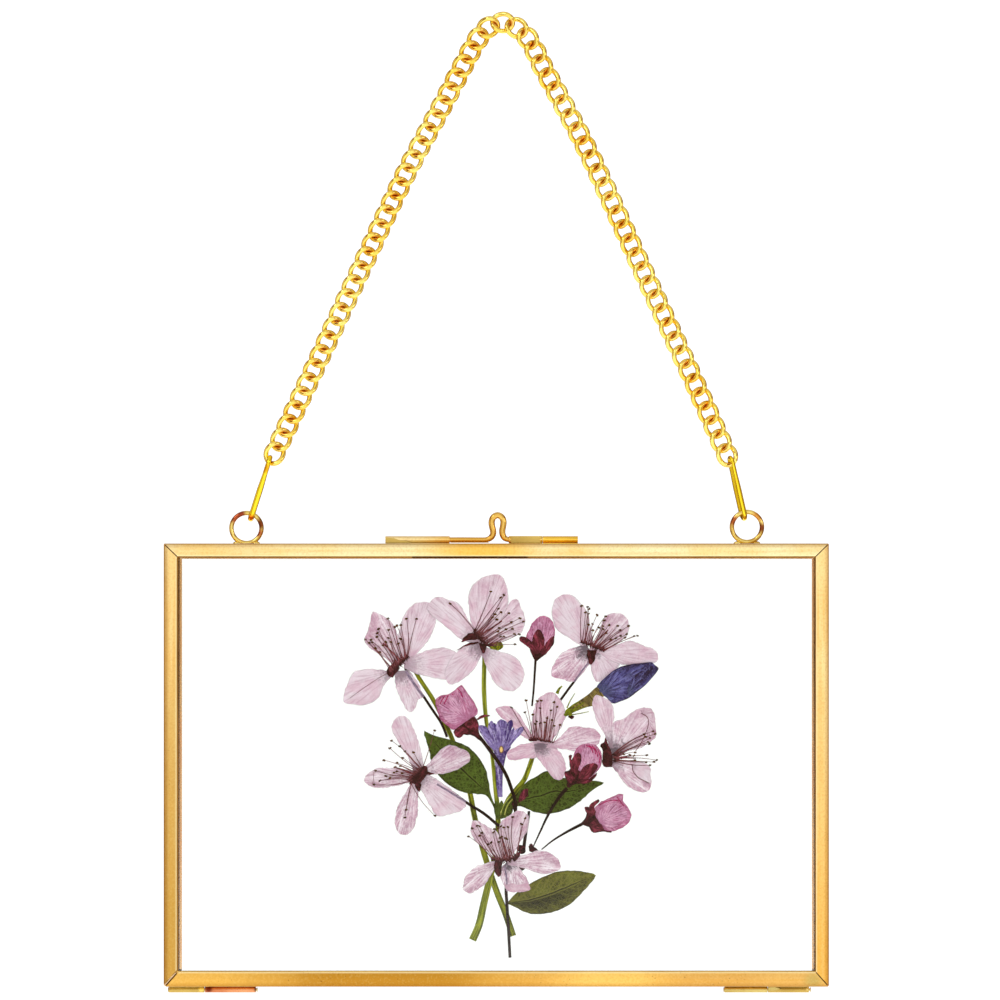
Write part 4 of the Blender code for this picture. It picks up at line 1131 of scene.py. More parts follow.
# %% Outlines of the blossoms, in pixels of the photograph
FRONT_Y, MIDDLE_Y, BEHIND_Y = -0.74 * MM, -0.52 * MM, 0.21 * MM
BLOSSOMS = {
    "upper_left": dict(y=MIDDLE_Y, heart=(404, 662), petals=[
        ([(398, 672), (390, 671), (372, 669), (355, 671), (348, 682), (343, 700), (350, 704),
          (365, 705), (378, 698), (385, 684), (400, 668)], 0.15),
        ([(394, 671), (395.5, 683), (397.5, 692), (401, 700), (405, 707), (409, 711.5),
          (413, 711), (416, 706), (418.5, 700), (423.5, 697), (421, 688.5), (416, 680),
          (409, 670)], 0.1),
        ([(404, 668), (414, 673), (425, 676), (440, 679), (455, 678), (461, 664), (458, 654),
          (447, 648), (435, 648), (422, 652), (404, 660)], 0.2),
        ([(404, 662), (398, 645), (400, 625), (405, 614), (412, 605), (420, 602), (430, 603),
          (435, 612), (436, 622), (430, 638), (422, 648), (412, 660)], 0.2),
        ([(408, 662), (402, 645), (398, 634), (393, 624), (388, 619), (377, 613), (372, 613),
          (368, 630), (364, 640), (370, 648), (382, 656), (398, 667)], 0.55)],
        veins=[[(387, 673), (368, 685), (350, 698)]],
        ridges=[(0.32, [(406, 671), (413, 682), (423, 696.5)])],
        sepals=[[(396, 660), (388, 668), (387, 673), (392, 677.5), (400, 668)]],
        knob=0.62, shades=(0.7, 0.6, 0.3, 0, 0.2), crinkles=(0.2, 0.5, 0.3, 0.3, 0.9),
        roots=[(391, 673), (396, 668), (401, 662), (408, 656)],
        anthers=[(388, 618.5), (378.5, 629), (377.5, 633), (377, 637), (371, 640), (365.5, 639.5),
                 (369, 643), (372, 642), (375.5, 648), (380, 652), (386, 642), (383, 645),
                 (388.5, 630), (388.5, 638), (391, 642), (395, 627), (397, 625.5), (401, 625),
                 (400.5, 639), (398.5, 643.5), (406.5, 618.5), (416.5, 618.5)],
        style=((400, 660), (383, 643))),
    "top": dict(y=FRONT_Y, heart=(478, 640), petals=[
        ([(484, 640), (470, 622), (460, 605), (450, 600), (438, 597), (430, 602), (428, 612),
          (440, 622), (452, 632), (462, 640), (478, 644)], 0.15),
        ([(474, 634), (470, 618), (468, 600), (470, 590), (478, 580), (490, 575), (500, 575),
          (505, 581), (508, 592), (508, 605), (500, 622), (486, 640)], 0.3),
        ([(480, 634), (492, 622), (505, 608), (512, 600), (517, 599), (521, 608), (525, 618),
          (522, 632), (510, 638), (497, 642), (482, 644)], 0.3),
        ([(478, 644), (489, 648), (500, 651), (515, 657), (523, 668), (524, 677), (520, 686),
          (512, 691), (503, 690), (495, 683), (489, 672), (480, 652)], 0.1),
        ([(484, 638), (470, 642), (458, 650), (450, 660), (445, 672), (447, 682), (453, 684),
          (465, 678), (475, 668), (484, 650)], 0.2)],
        sepals=[[(476, 632), (467, 634), (461, 641.8), (468, 640.5), (478, 639)],
                [(478, 641.5), (466, 644), (456, 650.5), (466, 646), (479, 643)],
                [(479, 643), (480, 648), (482.5, 653), (485, 652), (487, 645)]],
        knob=0.60, shades=(0.4, 0, 0, 0.4, 0.7), crinkles=(0.3, 0.3, 0.6, 0.2, 0.3),
        roots=[(474, 630), (477, 635), (481, 640), (486, 645), (491, 646)],
        anthers=[(450, 603.5), (491, 591.5), (500.5, 597.5), (504, 595), (498.5, 608.5),
                 (501, 612), (495, 614), (492.5, 617.5), (497, 619.5), (509, 613), (520, 618),
                 (523.5, 621.5), (511.5, 622), (499, 628), (498, 631), (506, 629.5),
                 (512.5, 629), (514.5, 634), (500.5, 636.5), (504, 636.5), (515, 644.5),
                 (519, 634)],
        style=((481, 635), (502, 621))),
    "upper_right": dict(y=BEHIND_Y, heart=(592, 648), petals=[
        ([(582, 646), (572, 640), (562, 634), (555, 627), (552, 615), (553, 603), (558, 597),
          (567, 594), (575, 597), (581, 604), (587, 611), (590, 622), (592, 634),
          (594, 644)], 0.1),
        ([(586, 644), (575, 647), (563, 652), (556, 660), (551, 672), (553, 677), (562, 679),
          (573, 682), (581, 675), (589.5, 664), (591, 652)], 0.7),
        ([(592, 654), (604, 650), (615, 645), (630, 641), (645, 646), (655, 650), (658, 656),
          (656, 662), (640, 664), (625, 665), (608, 660), (592, 646)], 0.3),
        ([(588, 650), (596, 640), (599, 630), (602, 622), (606, 616), (614, 613), (622, 614),
          (628, 620), (629, 628), (626, 637), (614, 645), (596, 654)], 0.35),
        ([(590, 648), (590, 660), (591, 670), (596, 681), (603, 680), (612, 672), (620, 665),
          (610, 655), (596, 646)], 0.15)],
        ridges=[(0.2, [(588, 663), (581, 672), (574, 682)])],
        sepals=[[(587, 650), (587, 658), (590, 664.5), (594, 661), (596, 654), (597, 650)]],
        knob=0.46, shades=(0, 0.9, 0, 0, 1.0), crinkles=(0.15, 1.1, 0.4, 0.8, 0.3),
        roots=[(581, 642), (587, 644), (593, 646.5), (600, 649), (604, 651)],
        anthers=[(581.5, 606), (587.5, 607), (589, 609), (585.5, 612.5), (588.5, 614),
                 (597, 615), (605.5, 616), (604.5, 620.5), (588.5, 624.5), (592.5, 624),
                 (599, 627.5), (603, 629), (603, 626), (609, 625), (593, 630), (606, 633),
                 (617.5, 625.5), (620, 630), (628.5, 626), (626.5, 634), (634, 636),
                 (637.5, 635.5), (620.5, 635.5), (625, 637.5), (616, 638), (611, 639.5)],
        style=((592, 646), (608, 630))),
    "centre": dict(y=MIDDLE_Y, heart=(541, 743), petals=[
        ([(533, 736), (527, 727), (521, 717), (516, 710), (510, 706.5), (503, 706), (497, 707.5),
          (495.5, 711), (500, 716), (508, 723), (515, 730), (522, 736), (534, 742)], 1.0),
        ([(534, 742), (531, 730), (532, 718), (534, 708), (537, 700), (543, 695), (551, 692),
          (557, 695), (562, 702), (566, 714), (563, 724), (556, 735), (549, 744)], 0.6),
        ([(548, 744), (559, 738), (566, 730), (573, 726), (583, 727), (592, 728), (598, 732),
          (600.5, 737), (598, 744), (590, 750), (574, 751), (562, 749), (546, 748)], 0.7),
        ([(534, 744), (536, 754), (540, 762), (545, 767), (550, 774), (555, 779), (560, 780),
          (564, 776), (566, 767), (563, 757), (557, 749), (548, 742)], 0.6),
        ([(544, 742), (532, 742), (522, 744), (513, 748), (508, 751), (507, 756), (510, 760),
          (519, 760), (527, 758), (536, 758), (544, 750)], 1.0)],
        sepals=[[(532, 738), (528, 739), (530, 741), (536, 741), (538, 739)]],
        knob=0.24, shades=(0, 0, 0, 0.8, 0.5), crinkles=(0.7, 0.5, 0.9, 0.3, 0.5),
        roots=[(530, 738.5), (533, 738), (537, 738.5), (541, 740), (545, 741), (549, 741.5),
               (553, 742.5)],
        anthers=[(511.5, 707.5), (526, 700), (525, 712), (533, 714.5), (537.5, 701), (541, 700.5),
                 (540, 708), (535.5, 724), (536.5, 721), (540, 723), (545, 722), (547, 718),
                 (551, 710), (554, 702), (557, 707), (552, 720), (554, 725.5), (560, 725)],
        style=((544, 740), (547.5, 716))),
    "right": dict(y=FRONT_Y, heart=(612, 756), petals=[
        ([(610, 748), (605, 735), (598, 724), (595, 716), (592.5, 708), (592, 702), (594, 697),
          (597, 694.5), (603, 697), (609, 700), (612.5, 705), (614, 714), (613.5, 724),
          (612, 734), (613, 748)], 0.25),
        ([(610, 754), (608, 742), (610, 730), (614, 722), (622, 719), (630, 713.5), (637, 709),
          (645, 707.5), (651, 709), (655, 716), (655, 726), (656, 736), (650, 742), (640, 748),
          (626, 752), (614, 760)], 0.25),
        ([(608, 758), (618, 760.5), (630, 760.5), (642, 762), (650, 767), (650.5, 776),
          (651.5, 784), (648, 791), (640, 792), (630, 788), (624, 783), (618, 774),
          (610, 764)], 0.8),
        ([(640, 711), (645, 707.5), (651, 709), (655, 716), (655.5, 726), (656, 735),
          (650, 742), (641, 745), (646, 733), (648.5, 723), (646, 716)], 0.5),
        ([(632, 763.5), (642, 762), (650, 767), (650.5, 776), (650, 783), (643, 780),
          (637, 776), (633, 770)], 0.0)],
        sepals=[],
        cups=[[(612, 767), (605, 766.5), (602, 763), (602.4, 758), (602.4, 751), (601, 747),
               (600, 744), (604, 741.5), (605, 738), (606.8, 736), (607.7, 743), (610, 747),
               (612, 751), (613, 758), (612.8, 765)],
              [(612, 762), (607, 761), (604, 757), (603.5, 751), (607, 748), (611, 752),
               (612.5, 757)]],
        knob=0.50, shades=(0.5, 0.9, 0.6, 0, 0), crinkles=(0.5, 0.7, 1.1, 1.0, 0.2),
        roots=[(614, 753), (616, 755.5), (616, 758), (614.5, 761)],
        anthers=[(644, 734), (646, 737), (650, 738), (653, 731), (655, 734), (648, 742),
                 (649.5, 743.5), (635, 752), (624, 754), (630, 755), (634, 755.5), (647, 755),
                 (656.5, 760), (654, 762), (650, 765), (646, 762), (635, 760)],
        style=((613, 757), (636, 758)),
        creases=[[(641, 713), (647, 717), (648.5, 723), (646, 732), (641, 743), (635.5, 751)],
                 [(632, 764), (633, 771), (638, 777.5), (644, 780.5), (649, 783)]]),
    "left": dict(y=MIDDLE_Y, heart=(419, 775), petals=[
        ([(415, 776), (408, 758), (400, 745), (392, 730), (394, 720), (400, 716), (407, 717),
          (413, 727), (418, 740), (422, 755), (424, 774)], 0.15),
        ([(416, 774), (428, 764), (434, 757), (441, 749), (449, 745), (460, 748), (468, 752),
          (470, 759), (465, 765), (456, 770), (446, 773.5), (434, 774), (420, 778)], 0.3),
        ([(416, 772), (430, 775), (440, 781), (452, 790), (466, 803), (460, 811), (450, 814),
          (437, 816), (430, 806), (424, 795), (414, 778)], 0.15),
        ([(414, 776), (408, 788), (400, 801), (396, 812), (395, 824), (400, 834), (408, 834),
          (414, 827), (418, 812), (418, 798), (420, 776)], 0.3),
        ([(420, 772), (408, 770), (395, 768), (378, 768), (368, 773), (364, 780), (368, 785),
          (380, 788), (395, 786), (408, 783), (420, 780)], 0.25)],
        sepals=[[(412, 783), (415, 775), (420, 768), (426, 765.5), (428, 771), (424, 779),
                 (418, 785.5)],
                [(423, 771), (430, 772), (435, 773.7), (430, 774.6), (423, 774.6)],
                [(415.5, 781), (415.3, 786), (417, 790.5), (419.5, 791.7), (421, 788),
                 (420.5, 782)]],
        veins=[[(374, 772), (373.5, 779), (372.5, 785)]],
        ridges=[(0.24, [(437, 784), (450, 792), (465.5, 801.5)])],
        knob=0.66, shades=(0.3, 0.5, 0.6, 0.2, 0.2), crinkles=(0.3, 0.9, 0.3, 1.1, 0.7),
        roots=[(411, 783), (414, 778), (418, 773), (423, 767)],
        anthers=[(391.5, 740.5), (390, 748), (384, 760), (375.5, 770.5), (400, 746),
                 (405, 751.5), (413.5, 752), (402.5, 757.5), (395, 767), (397, 763),
                 (400.5, 765.5), (394, 772.5), (397, 771.5), (386, 776), (390, 778),
                 (380, 780.5), (374, 784.5), (406, 810), (405, 817.5), (435, 815.5),
                 (434.5, 730), (402, 773)],
        style=((414, 774), (395, 767))),
    "bottom": dict(y=FRONT_Y, heart=(504, 860), petals=[
        ([(500, 862), (490, 853), (482, 847), (475, 841), (471, 833), (471, 826), (473, 821),
          (478, 820.5), (484, 824), (491, 828.5), (497, 831), (501, 842), (506, 860)], 0.3),
        ([(500, 860), (501, 845), (499, 832), (500, 824), (504, 818.5), (510, 815), (516, 811),
          (523, 811), (528.5, 816), (528.5, 825), (526, 833), (520, 843), (514, 853),
          (510, 862)], 0.3),
        ([(506, 858), (516, 856), (527, 854), (537, 850.5), (545, 851), (552, 854), (558, 859),
          (561, 866), (558, 870.5), (550, 873), (540, 873.5), (531, 871), (520, 867),
          (508, 865)], 0.3),
        ([(508, 860), (502, 867), (500, 872), (501, 879), (504, 886), (509, 891), (518, 892),
          (527, 891), (530, 888), (528, 881), (524, 874), (518, 866), (510, 860)], 0.1),
        ([(498, 860), (485, 863), (475, 867), (468, 873), (464, 881), (463, 888), (466, 892),
          (470, 893.5), (477, 890), (484, 885), (489, 878), (494, 870), (502, 862)], 0.3),
        ([(504, 885), (509, 891), (518, 892), (527, 891), (530, 888), (527, 883), (520, 884),
          (512, 883)], 1.0)],
        sepals=[[(495, 861), (494, 867), (495.5, 873), (498, 877.5), (501, 873), (502, 868),
                 (503, 861)],
                [(513, 857), (516, 853), (521, 852), (518, 858), (514, 862)]],
        ridges=[(0.22, [(505, 867), (506.5, 878), (507, 891)])],
        knob=0.50, shades=(0, 0, 0.2, 1.0, 0.2, 0),
        crinkles=(0.8, 0.7, 1.1, 1.3, 1.2, 0.4),
        roots=[(492, 859), (497, 860), (502, 860.5), (508, 860), (513, 858), (517, 856)],
        anthers=[(468.5, 836), (472, 828), (477, 826), (479.5, 826), (479.5, 835.5), (482, 833),
                 (488, 844), (491, 842.5), (493.5, 832), (494.5, 829), (498, 828), (501, 826),
                 (504, 827), (499, 842), (500, 838), (502, 836.5), (505, 838), (508, 827),
                 (507, 839), (512.5, 817), (521.5, 824), (525, 818)],
        style=((507, 857), (502, 838))),
}
print(len(BLOSSOMS), "blossoms,", sum(len(b["petals"]) for b in BLOSSOMS.values()), "petals")

# %% [markdown]
# Petals of one blossom overlap near its heart, so each lies a hair's breadth behind the
# last. A filament bows a little to one side and tapers towards its anther, and the
# filaments are shared out along the rim of the heart, in the order of their directions.
# The heart is a row of dark knobs with short spikes, like the rim of a dried blossom's
# cup.

# %% Press the blossoms
HAIR_STEPS = 8
ROOTS, KNOBS = 40, 25


def bearing(origin, point):
    return math.atan2(origin[1] - point[1], point[0] - origin[0])


def hair(form, start, end, thick, thin, bow=0.0):
    sideways = (end - start).cross(Vector((0, 1, 0))) * bow
    shares = [step / HAIR_STEPS for step in range(HAIR_STEPS + 1)]
    tube(form, [start.lerp(end, t) + sideways * math.sin(math.pi * t) for t in shares],
         [thick + (thin - thick) * t for t in shares], sides=6, flatten=0.6)


def heart_rim(blossom, spots):
    """The rim of the heart, and the way in which most stamens point from it."""
    tips = blossom["anthers"]
    middle = [sum(part) / len(tips) for part in zip(*tips)]
    return (evenly([Vector((*root, 0)) for root in blossom["roots"]], spots),
            bearing(blossom["heart"], middle))


def stamens(filaments, anthers, blossom, chance):
    rim, middle = heart_rim(blossom, ROOTS)

    def turn(point):
        return math.remainder(bearing(blossom["heart"], point) - middle, 2 * math.pi)

    order = sorted(blossom["anthers"], key=turn, reverse=True)
    if turn(blossom["roots"][0]) < turn(blossom["roots"][-1]):
        order.reverse()
    for index, (px, py) in enumerate(order):
        root = rim[round(index * (ROOTS - 1) / max(len(order) - 1, 1))]
        depth = blossom["y"] - 0.19 * MM - 0.02 * MM * chance.random()
        end = place(px, py, depth)
        hair(filaments, place(root.x, root.y, depth + 0.03 * MM), end, 0.115 * MM, 0.06 * MM,
             chance.uniform(-0.06, 0.06))
        for lobe in (-1, 1):
            size, way = chance.uniform(0.75, 1.1), chance.uniform(0, math.pi)
            ball(anthers, end + Vector((lobe * 0.12 * MM, 0, chance.uniform(-0.1, 0.1) * MM)),
                 (0.30 * MM * size, 0.12 * MM, 0.22 * MM * size), way)


def knobbly_heart(form, blossom, chance):
    y, knob = blossom["y"] - 0.15 * MM, blossom["knob"] * MM
    rim, middle = heart_rim(blossom, KNOBS)
    for index, spot in enumerate(rim):
        swell = 0.6 + 0.4 * math.sin(math.pi * index / (KNOBS - 1))
        centre = place(spot.x, spot.y, y)
        if index % 2 == 0:
            shift = Vector((chance.uniform(-0.3, 0.3), 0, chance.uniform(-0.3, 0.3))) * knob
            ball(form, centre + shift, (knob * swell * chance.uniform(0.5, 0.9), 0.10 * MM,
                                        knob * swell * chance.uniform(0.4, 0.8)),
                 chance.uniform(0, math.pi))
        for way, reach in ((middle, 3.2), (middle, 2.2), (middle + math.pi, 2.1)):
            way += chance.gauss(0, 0.5)
            length = knob * swell * reach * chance.uniform(0.5, 1)
            hair(form, centre, centre + Vector((math.cos(way), -0.02, math.sin(way))) * length,
                 0.15 * MM, 0.05 * MM)


def press(name, blossom, chance):
    petals, heart, filaments, anthers = (new_form() for form in range(4))
    y = blossom["y"]
    looks = zip(blossom["petals"], blossom["shades"], blossom["crinkles"])
    for index, ((outline, blush), shade, crinkle) in enumerate(looks):
        over = -0.13 * MM if index >= (3 if name == "right" else 5) else (index - 2) * 0.03 * MM
        blade(petals, outline, y + over, columns=14, rows=30, blush=blush, shade=shade,
              crinkle=crinkle, ragged=0.22 * MM, seed=index * 7.3 + len(name))
    pressed = plant(f"blossom_{name}_petals", petals, PETAL, "pink_petals",
                    stands_for=[f"blossom_{name}"], thickness=0.03 * MM)
    for index, outline in enumerate(blossom["sepals"]):
        pillow(heart, outline, y - 0.14 * MM, 0.05 * MM, columns=8, rows=14,
               blush=0.3 * index, ragged=0.25 * MM, seed=index)
    for index, outline in enumerate(blossom.get("cups", ())):
        pillow(heart, outline, y - 0.04 * MM * index, 0.12 * MM, columns=12, rows=16,
               ragged=0.2 * MM, seed=index)
    knobbly_heart(heart, blossom, chance)
    plant(f"blossom_{name}_heart", heart, CALYX, "pink_petals")
    stamens(filaments, anthers, blossom, chance)
    hair(filaments, *(place(*point, y - 0.22 * MM) for point in blossom["style"]),
         0.26 * MM, 0.17 * MM)
    for kind, radius in (("creases", 0.09 * MM), ("veins", 0.06 * MM)):
        for line_px in blossom.get(kind, ()):
            thread(filaments, line_px, y - 0.15 * MM, radius)
    if "ridges" in blossom:
        ridges = new_form()
        for radius, line_px in blossom["ridges"]:
            thread(ridges, line_px, y - 0.07 * MM, radius * MM, sides=8, flatten=0.15)
        plant(f"blossom_{name}_ridges", ridges, RIDGE, "pink_petals")
    plant(f"blossom_{name}_filaments", filaments, FILAMENT, "pink_petals")
    plant(f"blossom_{name}_anthers", anthers, ANTHER, "pink_petals")
    return pressed


chance = random.Random(11)
pressed = [press(name, blossom, chance) for name, blossom in BLOSSOMS.items()]
cushion("blossom_top_ovary",
        [(489, 641), (495, 638.5), (501, 641), (503, 646), (499, 650), (493, 651), (489, 647)],
        FRONT_Y + 0.10 * MM, 0.10 * MM, GREEN_STEM, "pink_petals",
        columns=8, rows=10, ragged=0.3 * MM)
print("petal faces:", count(pressed))

# %% [markdown]
# ## Buds
#
# A bud is a small cushion of wrapped petals in a dark cup. The cushion is a pillow,
# overlapped by one or two petals that lie a little in front of it, and the cup's lobes
# are pillows too, so that they stand proud of the petals.

# %% Outlines and forms of the buds
BUDS = {
    "bud_top": dict(y=-0.5 * MM, body=[
        (533, 652), (529, 644), (526, 638), (529, 630), (533, 622), (539, 616.5), (546, 616),
        (552, 621), (555, 630), (553, 640), (547, 652)], wraps=[
        [(536, 650), (531, 640), (534, 628), (541, 621), (545, 630), (546, 642), (543, 652)],
        [(540, 652), (543, 640), (546, 626), (550, 622), (554, 631), (551, 642), (546, 651)]],
        cup=[(535, 661), (532, 655), (530, 648), (540, 646), (549, 648), (546, 654), (537, 661)],
        lobes=[[(536, 655), (529, 648), (520, 641), (520, 636.5), (526, 637), (532, 642),
                (540, 652)],
               [(535, 653), (532, 642), (535, 632), (539, 629), (543, 634), (545, 643),
                (543, 653)],
               [(541, 654), (545, 645), (549, 639), (554, 636), (554, 642), (551, 648),
                (545, 655)]]),
    "bud_pink_left": dict(y=-0.5 * MM, body=[
        (466, 722), (454, 729.6), (447.6, 725.6), (442, 721), (438, 714), (436.5, 707),
        (435.7, 700.4), (437, 697.5), (443.6, 694.6), (449, 693.6), (454.4, 690.2),
        (457.8, 686.8), (461.3, 684.9), (464.7, 688.8), (470, 696.3), (474.2, 702.4),
        (478, 710), (477, 714.7), (473, 717)],
        wraps=[[(462, 722), (450, 724), (443, 717), (439, 707), (441, 699), (449, 696),
                (456, 697), (463, 703), (468, 714)],
               [(471, 716), (466, 706), (459, 697), (458, 690), (461, 686.5), (466, 692),
                (471, 699), (475.5, 707)]],
        folds=[[(448.5, 694.5), (446.5, 699), (444, 704)], [(445, 695.5), (442, 700), (440, 704)],
               [(441, 697), (438.5, 700)], [(453.5, 694), (452, 694.6)],
               [(457, 688), (460, 691), (463, 697)]],
        cup=[(480.5, 741), (474, 736.4), (469.4, 734.7), (464, 734.4), (454, 730.3),
             (464, 722.5), (473.5, 716), (477, 720), (479, 724), (478.5, 728), (479.6, 734.4),
             (482, 741)],
        lobes=[[(466, 727), (460, 726.5), (454, 730.3), (454.4, 733.7), (455.8, 736.4),
                (458.5, 738.1), (461.2, 737.1), (464, 734.4), (469, 731)],
               [(476, 732), (470, 729), (464, 724), (469, 719.5), (473.5, 716.4), (477, 721),
                (478.8, 727)],
               [(476, 719.5), (480, 716), (484, 714.8), (489.8, 714.8), (489, 716.3),
                (484, 717.2), (478.2, 720)]]),
    "bud_pink_centre": dict(y=-0.55 * MM, body=[
        (579, 780), (574, 766), (573.5, 755), (576, 750), (580.2, 745.5), (587.5, 743.5),
        (593.9, 743.9), (598.8, 747.9), (601.6, 753.6), (602, 759.2), (600.8, 765.7),
        (597, 771.5), (592, 777), (586, 781)],
        wraps=[[(582, 772), (580, 762), (581, 752), (587, 747), (594, 752), (596, 762),
                (591, 772)],
               [(594, 770), (594, 758), (590, 747), (594.5, 745), (599, 750), (601, 759),
                (599, 767)]],
        folds=[[(586, 745), (591, 748), (593, 753)], [(592, 745.5), (596, 750), (598, 757)],
               [(588.5, 745), (594.5, 749.5), (595.5, 754)],
               [(597.5, 749), (600, 756), (599, 763)]],
        cup=[(567, 787), (566, 778.6), (564.8, 772.2), (568, 770.5), (573, 766), (580, 770),
             (590, 776), (584.2, 782.7), (575, 784), (569, 788)],
        lobes=[[(577, 777), (574.5, 773), (570.5, 769), (570.1, 763.3), (572, 759), (574.5, 755),
                (577.5, 752.4), (580.6, 754.4), (581.4, 757.6), (580.6, 762.5), (578.2, 769)],
               [(578, 778), (580.2, 771), (584.2, 765.7), (590.7, 763.3), (595.5, 763.3),
                (598, 765), (597.5, 768), (595.5, 771.3), (590.7, 777), (584, 780.5)],
               [(573, 774), (570, 767), (569, 760), (568.5, 755.6), (572, 755), (571.6, 760),
                (575, 768)],
               [(578, 782), (587, 780), (594, 775), (597, 772.5), (596, 776), (590, 782),
                (582, 784)],
               [(571, 784), (566, 779), (564.5, 772.5), (568, 771), (575, 778)]]),
    "bud_pink_right": dict(y=-0.5 * MM, body=[
        (592, 812), (595.5, 807), (600.4, 802), (606.8, 798.8), (614.9, 795.2), (623, 793.8),
        (622.2, 799.6), (627.8, 807), (631.1, 813.4), (629.9, 819.8), (626.2, 824.7),
        (620.6, 828.7), (613.3, 831.1), (605.2, 830.3), (598, 821)],
        wraps=[[(597, 818), (600, 809), (608, 803), (617, 802), (625, 808), (627, 816),
                (621, 824), (611, 828), (603, 826)],
               [(598, 807.5), (604, 801.5), (613, 797), (622, 794.8), (621, 801), (613, 803),
                (605, 806.5)]],
        folds=[[(599, 805), (606, 801.5), (613, 800), (619, 801)],
               [(617, 797), (620, 801), (624, 806)]],
        cup=[(579.5, 824.5), (583, 820.5), (586.7, 815), (588, 809), (594.7, 807.7),
             (596.3, 817.4), (601.2, 823.9), (604, 830.3), (597, 831), (590.7, 828), (583.4, 825)],
        lobes=[[(588, 814), (589.1, 806.1), (593.9, 801.2), (598, 799.2), (599.2, 801.2),
                (596.3, 804.5), (594.7, 807.7), (596.3, 812.5)],
               [(590, 816), (586.7, 813), (584.2, 807.7), (587.5, 806.5), (592, 809),
                (595, 815)],
               [(590, 824), (594, 820), (601.2, 824), (604.5, 829.8), (611.7, 831.2),
                (610, 832.6), (602, 831.5), (594.7, 832.9), (591.5, 831.1), (589, 827)]]),
}


def bud(name, parts):
    petals, cup, lobes, folds = (new_form() for form in range(4))
    y = parts["y"]
    pillow(petals, parts["body"], y, 0.30 * MM, blush=0.6, ragged=0.2 * MM, rows=26, seed=3,
           crinkle=0.5)
    for index, outline in enumerate(parts["wraps"]):
        pillow(petals, outline, y - 0.26 * MM - 0.02 * MM * index, 0.08 * MM, crinkle=0.6,
               blush=0.5 * index, seed=index * 5, columns=12, rows=18)
    body = plant(f"{name}_petals", petals, BUD_PETAL, "pink_bud", stands_for=[name])
    for fold in parts.get("folds", ()):
        thread(folds, fold, y - 0.37 * MM, 0.14 * MM, flatten=0.5)
    if folds.verts:
        plant(f"{name}_folds", folds, CRIMSON, "pink_bud")
    else:
        folds.free()
    pillow(cup, parts["cup"], y, 0.34 * MM, seed=1, columns=12, rows=16, blush=0.8,
           ragged=0.2 * MM)
    for index, outline in enumerate(parts["lobes"]):
        pillow(lobes, outline, y - 0.32 * MM - 0.02 * MM * index, 0.10 * MM, seed=index,
               columns=10, rows=14, ragged=0.12 * MM, blush=0.35 * (index > 1))
    plant(f"{name}_cup", cup, CALYX, "pink_bud")
    plant(f"{name}_lobes", lobes, RED_CALYX, "pink_bud")
    return body


buds = [bud(name, parts) for name, parts in BUDS.items()]
print("buds:", count(buds), "faces")

# %% [markdown]
# ## The blue bud
#
# This long bud is wrapped like an umbrella: deep blue with violet streaks and darker
# folds. Its cup tapers into a brownish green tube with a small knot and thin sepals.

# %% Form the blue bud
BLUE_Y = -0.5 * MM
form = new_form()
pillow(form, [(596, 692), (597.5, 685), (605, 677.5), (612.5, 671.1), (621.5, 666.3), (632, 664),
              (642.5, 662.9), (651.5, 662.1), (654.5, 664.8), (658.6, 668.1), (656, 673),
              (651.5, 678.3), (645.5, 685), (638, 691), (629, 697.8), (620, 701.5),
              (612.5, 703.4), (605.8, 697), (599.8, 694)],
       BLUE_Y, 0.30 * MM, seed=2, columns=18, rows=34, blush=0.35)
for index, (wrap, blush) in enumerate((
        ([(599, 691), (602, 684), (609, 676.5), (617, 671), (627, 668), (640, 665), (652, 664),
          (644, 668), (634, 673), (627, 679), (622, 687), (616, 697), (611, 701),
          (605, 695)], 0.0),
        ([(626, 696), (631, 690), (641, 685), (648, 677), (655, 668.5), (656.5, 670),
          (652, 677), (646, 683.5), (638, 690), (630, 695.5)], 0.0),
        ([(627, 693), (629, 684), (634, 677), (641, 671), (653, 665.8), (649, 673), (644, 679),
          (638, 685), (631, 691)], 1.0))):
    pillow(form, wrap, BLUE_Y - 0.26 * MM - 0.02 * MM * index, 0.09 * MM, seed=index * 4,
           columns=12, rows=26, blush=blush)
blue = plant("bud_blue_petals", form, BLUE_PETAL, "blue_bud", stands_for=["bud_blue"])
cushion("bud_blue_cup",
        [(565, 713), (571, 705.6), (579, 700.6), (588.8, 693.8), (596.3, 687), (601, 688),
         (604, 695), (598, 704), (587.5, 707), (580, 709.4), (572.5, 713), (567, 716)],
        BLUE_Y, 0.26 * MM, OLIVE_CUP, "blue_bud", columns=10, rows=22)
form = new_form()
for thin, thick in (([(557, 693.5), (559, 689), (562, 686)], 0.45),
                    ([(567, 708), (570, 701), (575, 693)], 0.2),
                    ([(568, 715), (576, 714), (584, 712.5), (589, 711.5)], 0.18),
                    ([(567, 712), (576, 708), (584, 702)], 0.34),
                    ([(567, 713), (577, 710), (586, 706.5)], 0.3),
                    ([(566, 711), (574, 704.5), (580, 701)], 0.28)):
    thread(form, thin, BLUE_Y - 0.30 * MM, thick * MM, taper=0.6)
for px, py in ((567, 712), (569, 710), (570, 714), (566, 714.5)):
    ball(form, place(px, py, BLUE_Y - 0.24 * MM), (0.55 * MM, 0.2 * MM, 0.45 * MM))
plant("bud_blue_sepals", form, GREEN_STEM, "blue_bud")
print("blue bud:", count([blue]), "faces")

# %% [markdown]
# ## The violet flower
#
# Seen from the side, it is a long tube that opens into pointed petals, with a yellow
# spot at the throat. The petals overlap like a fan, every second one behind.

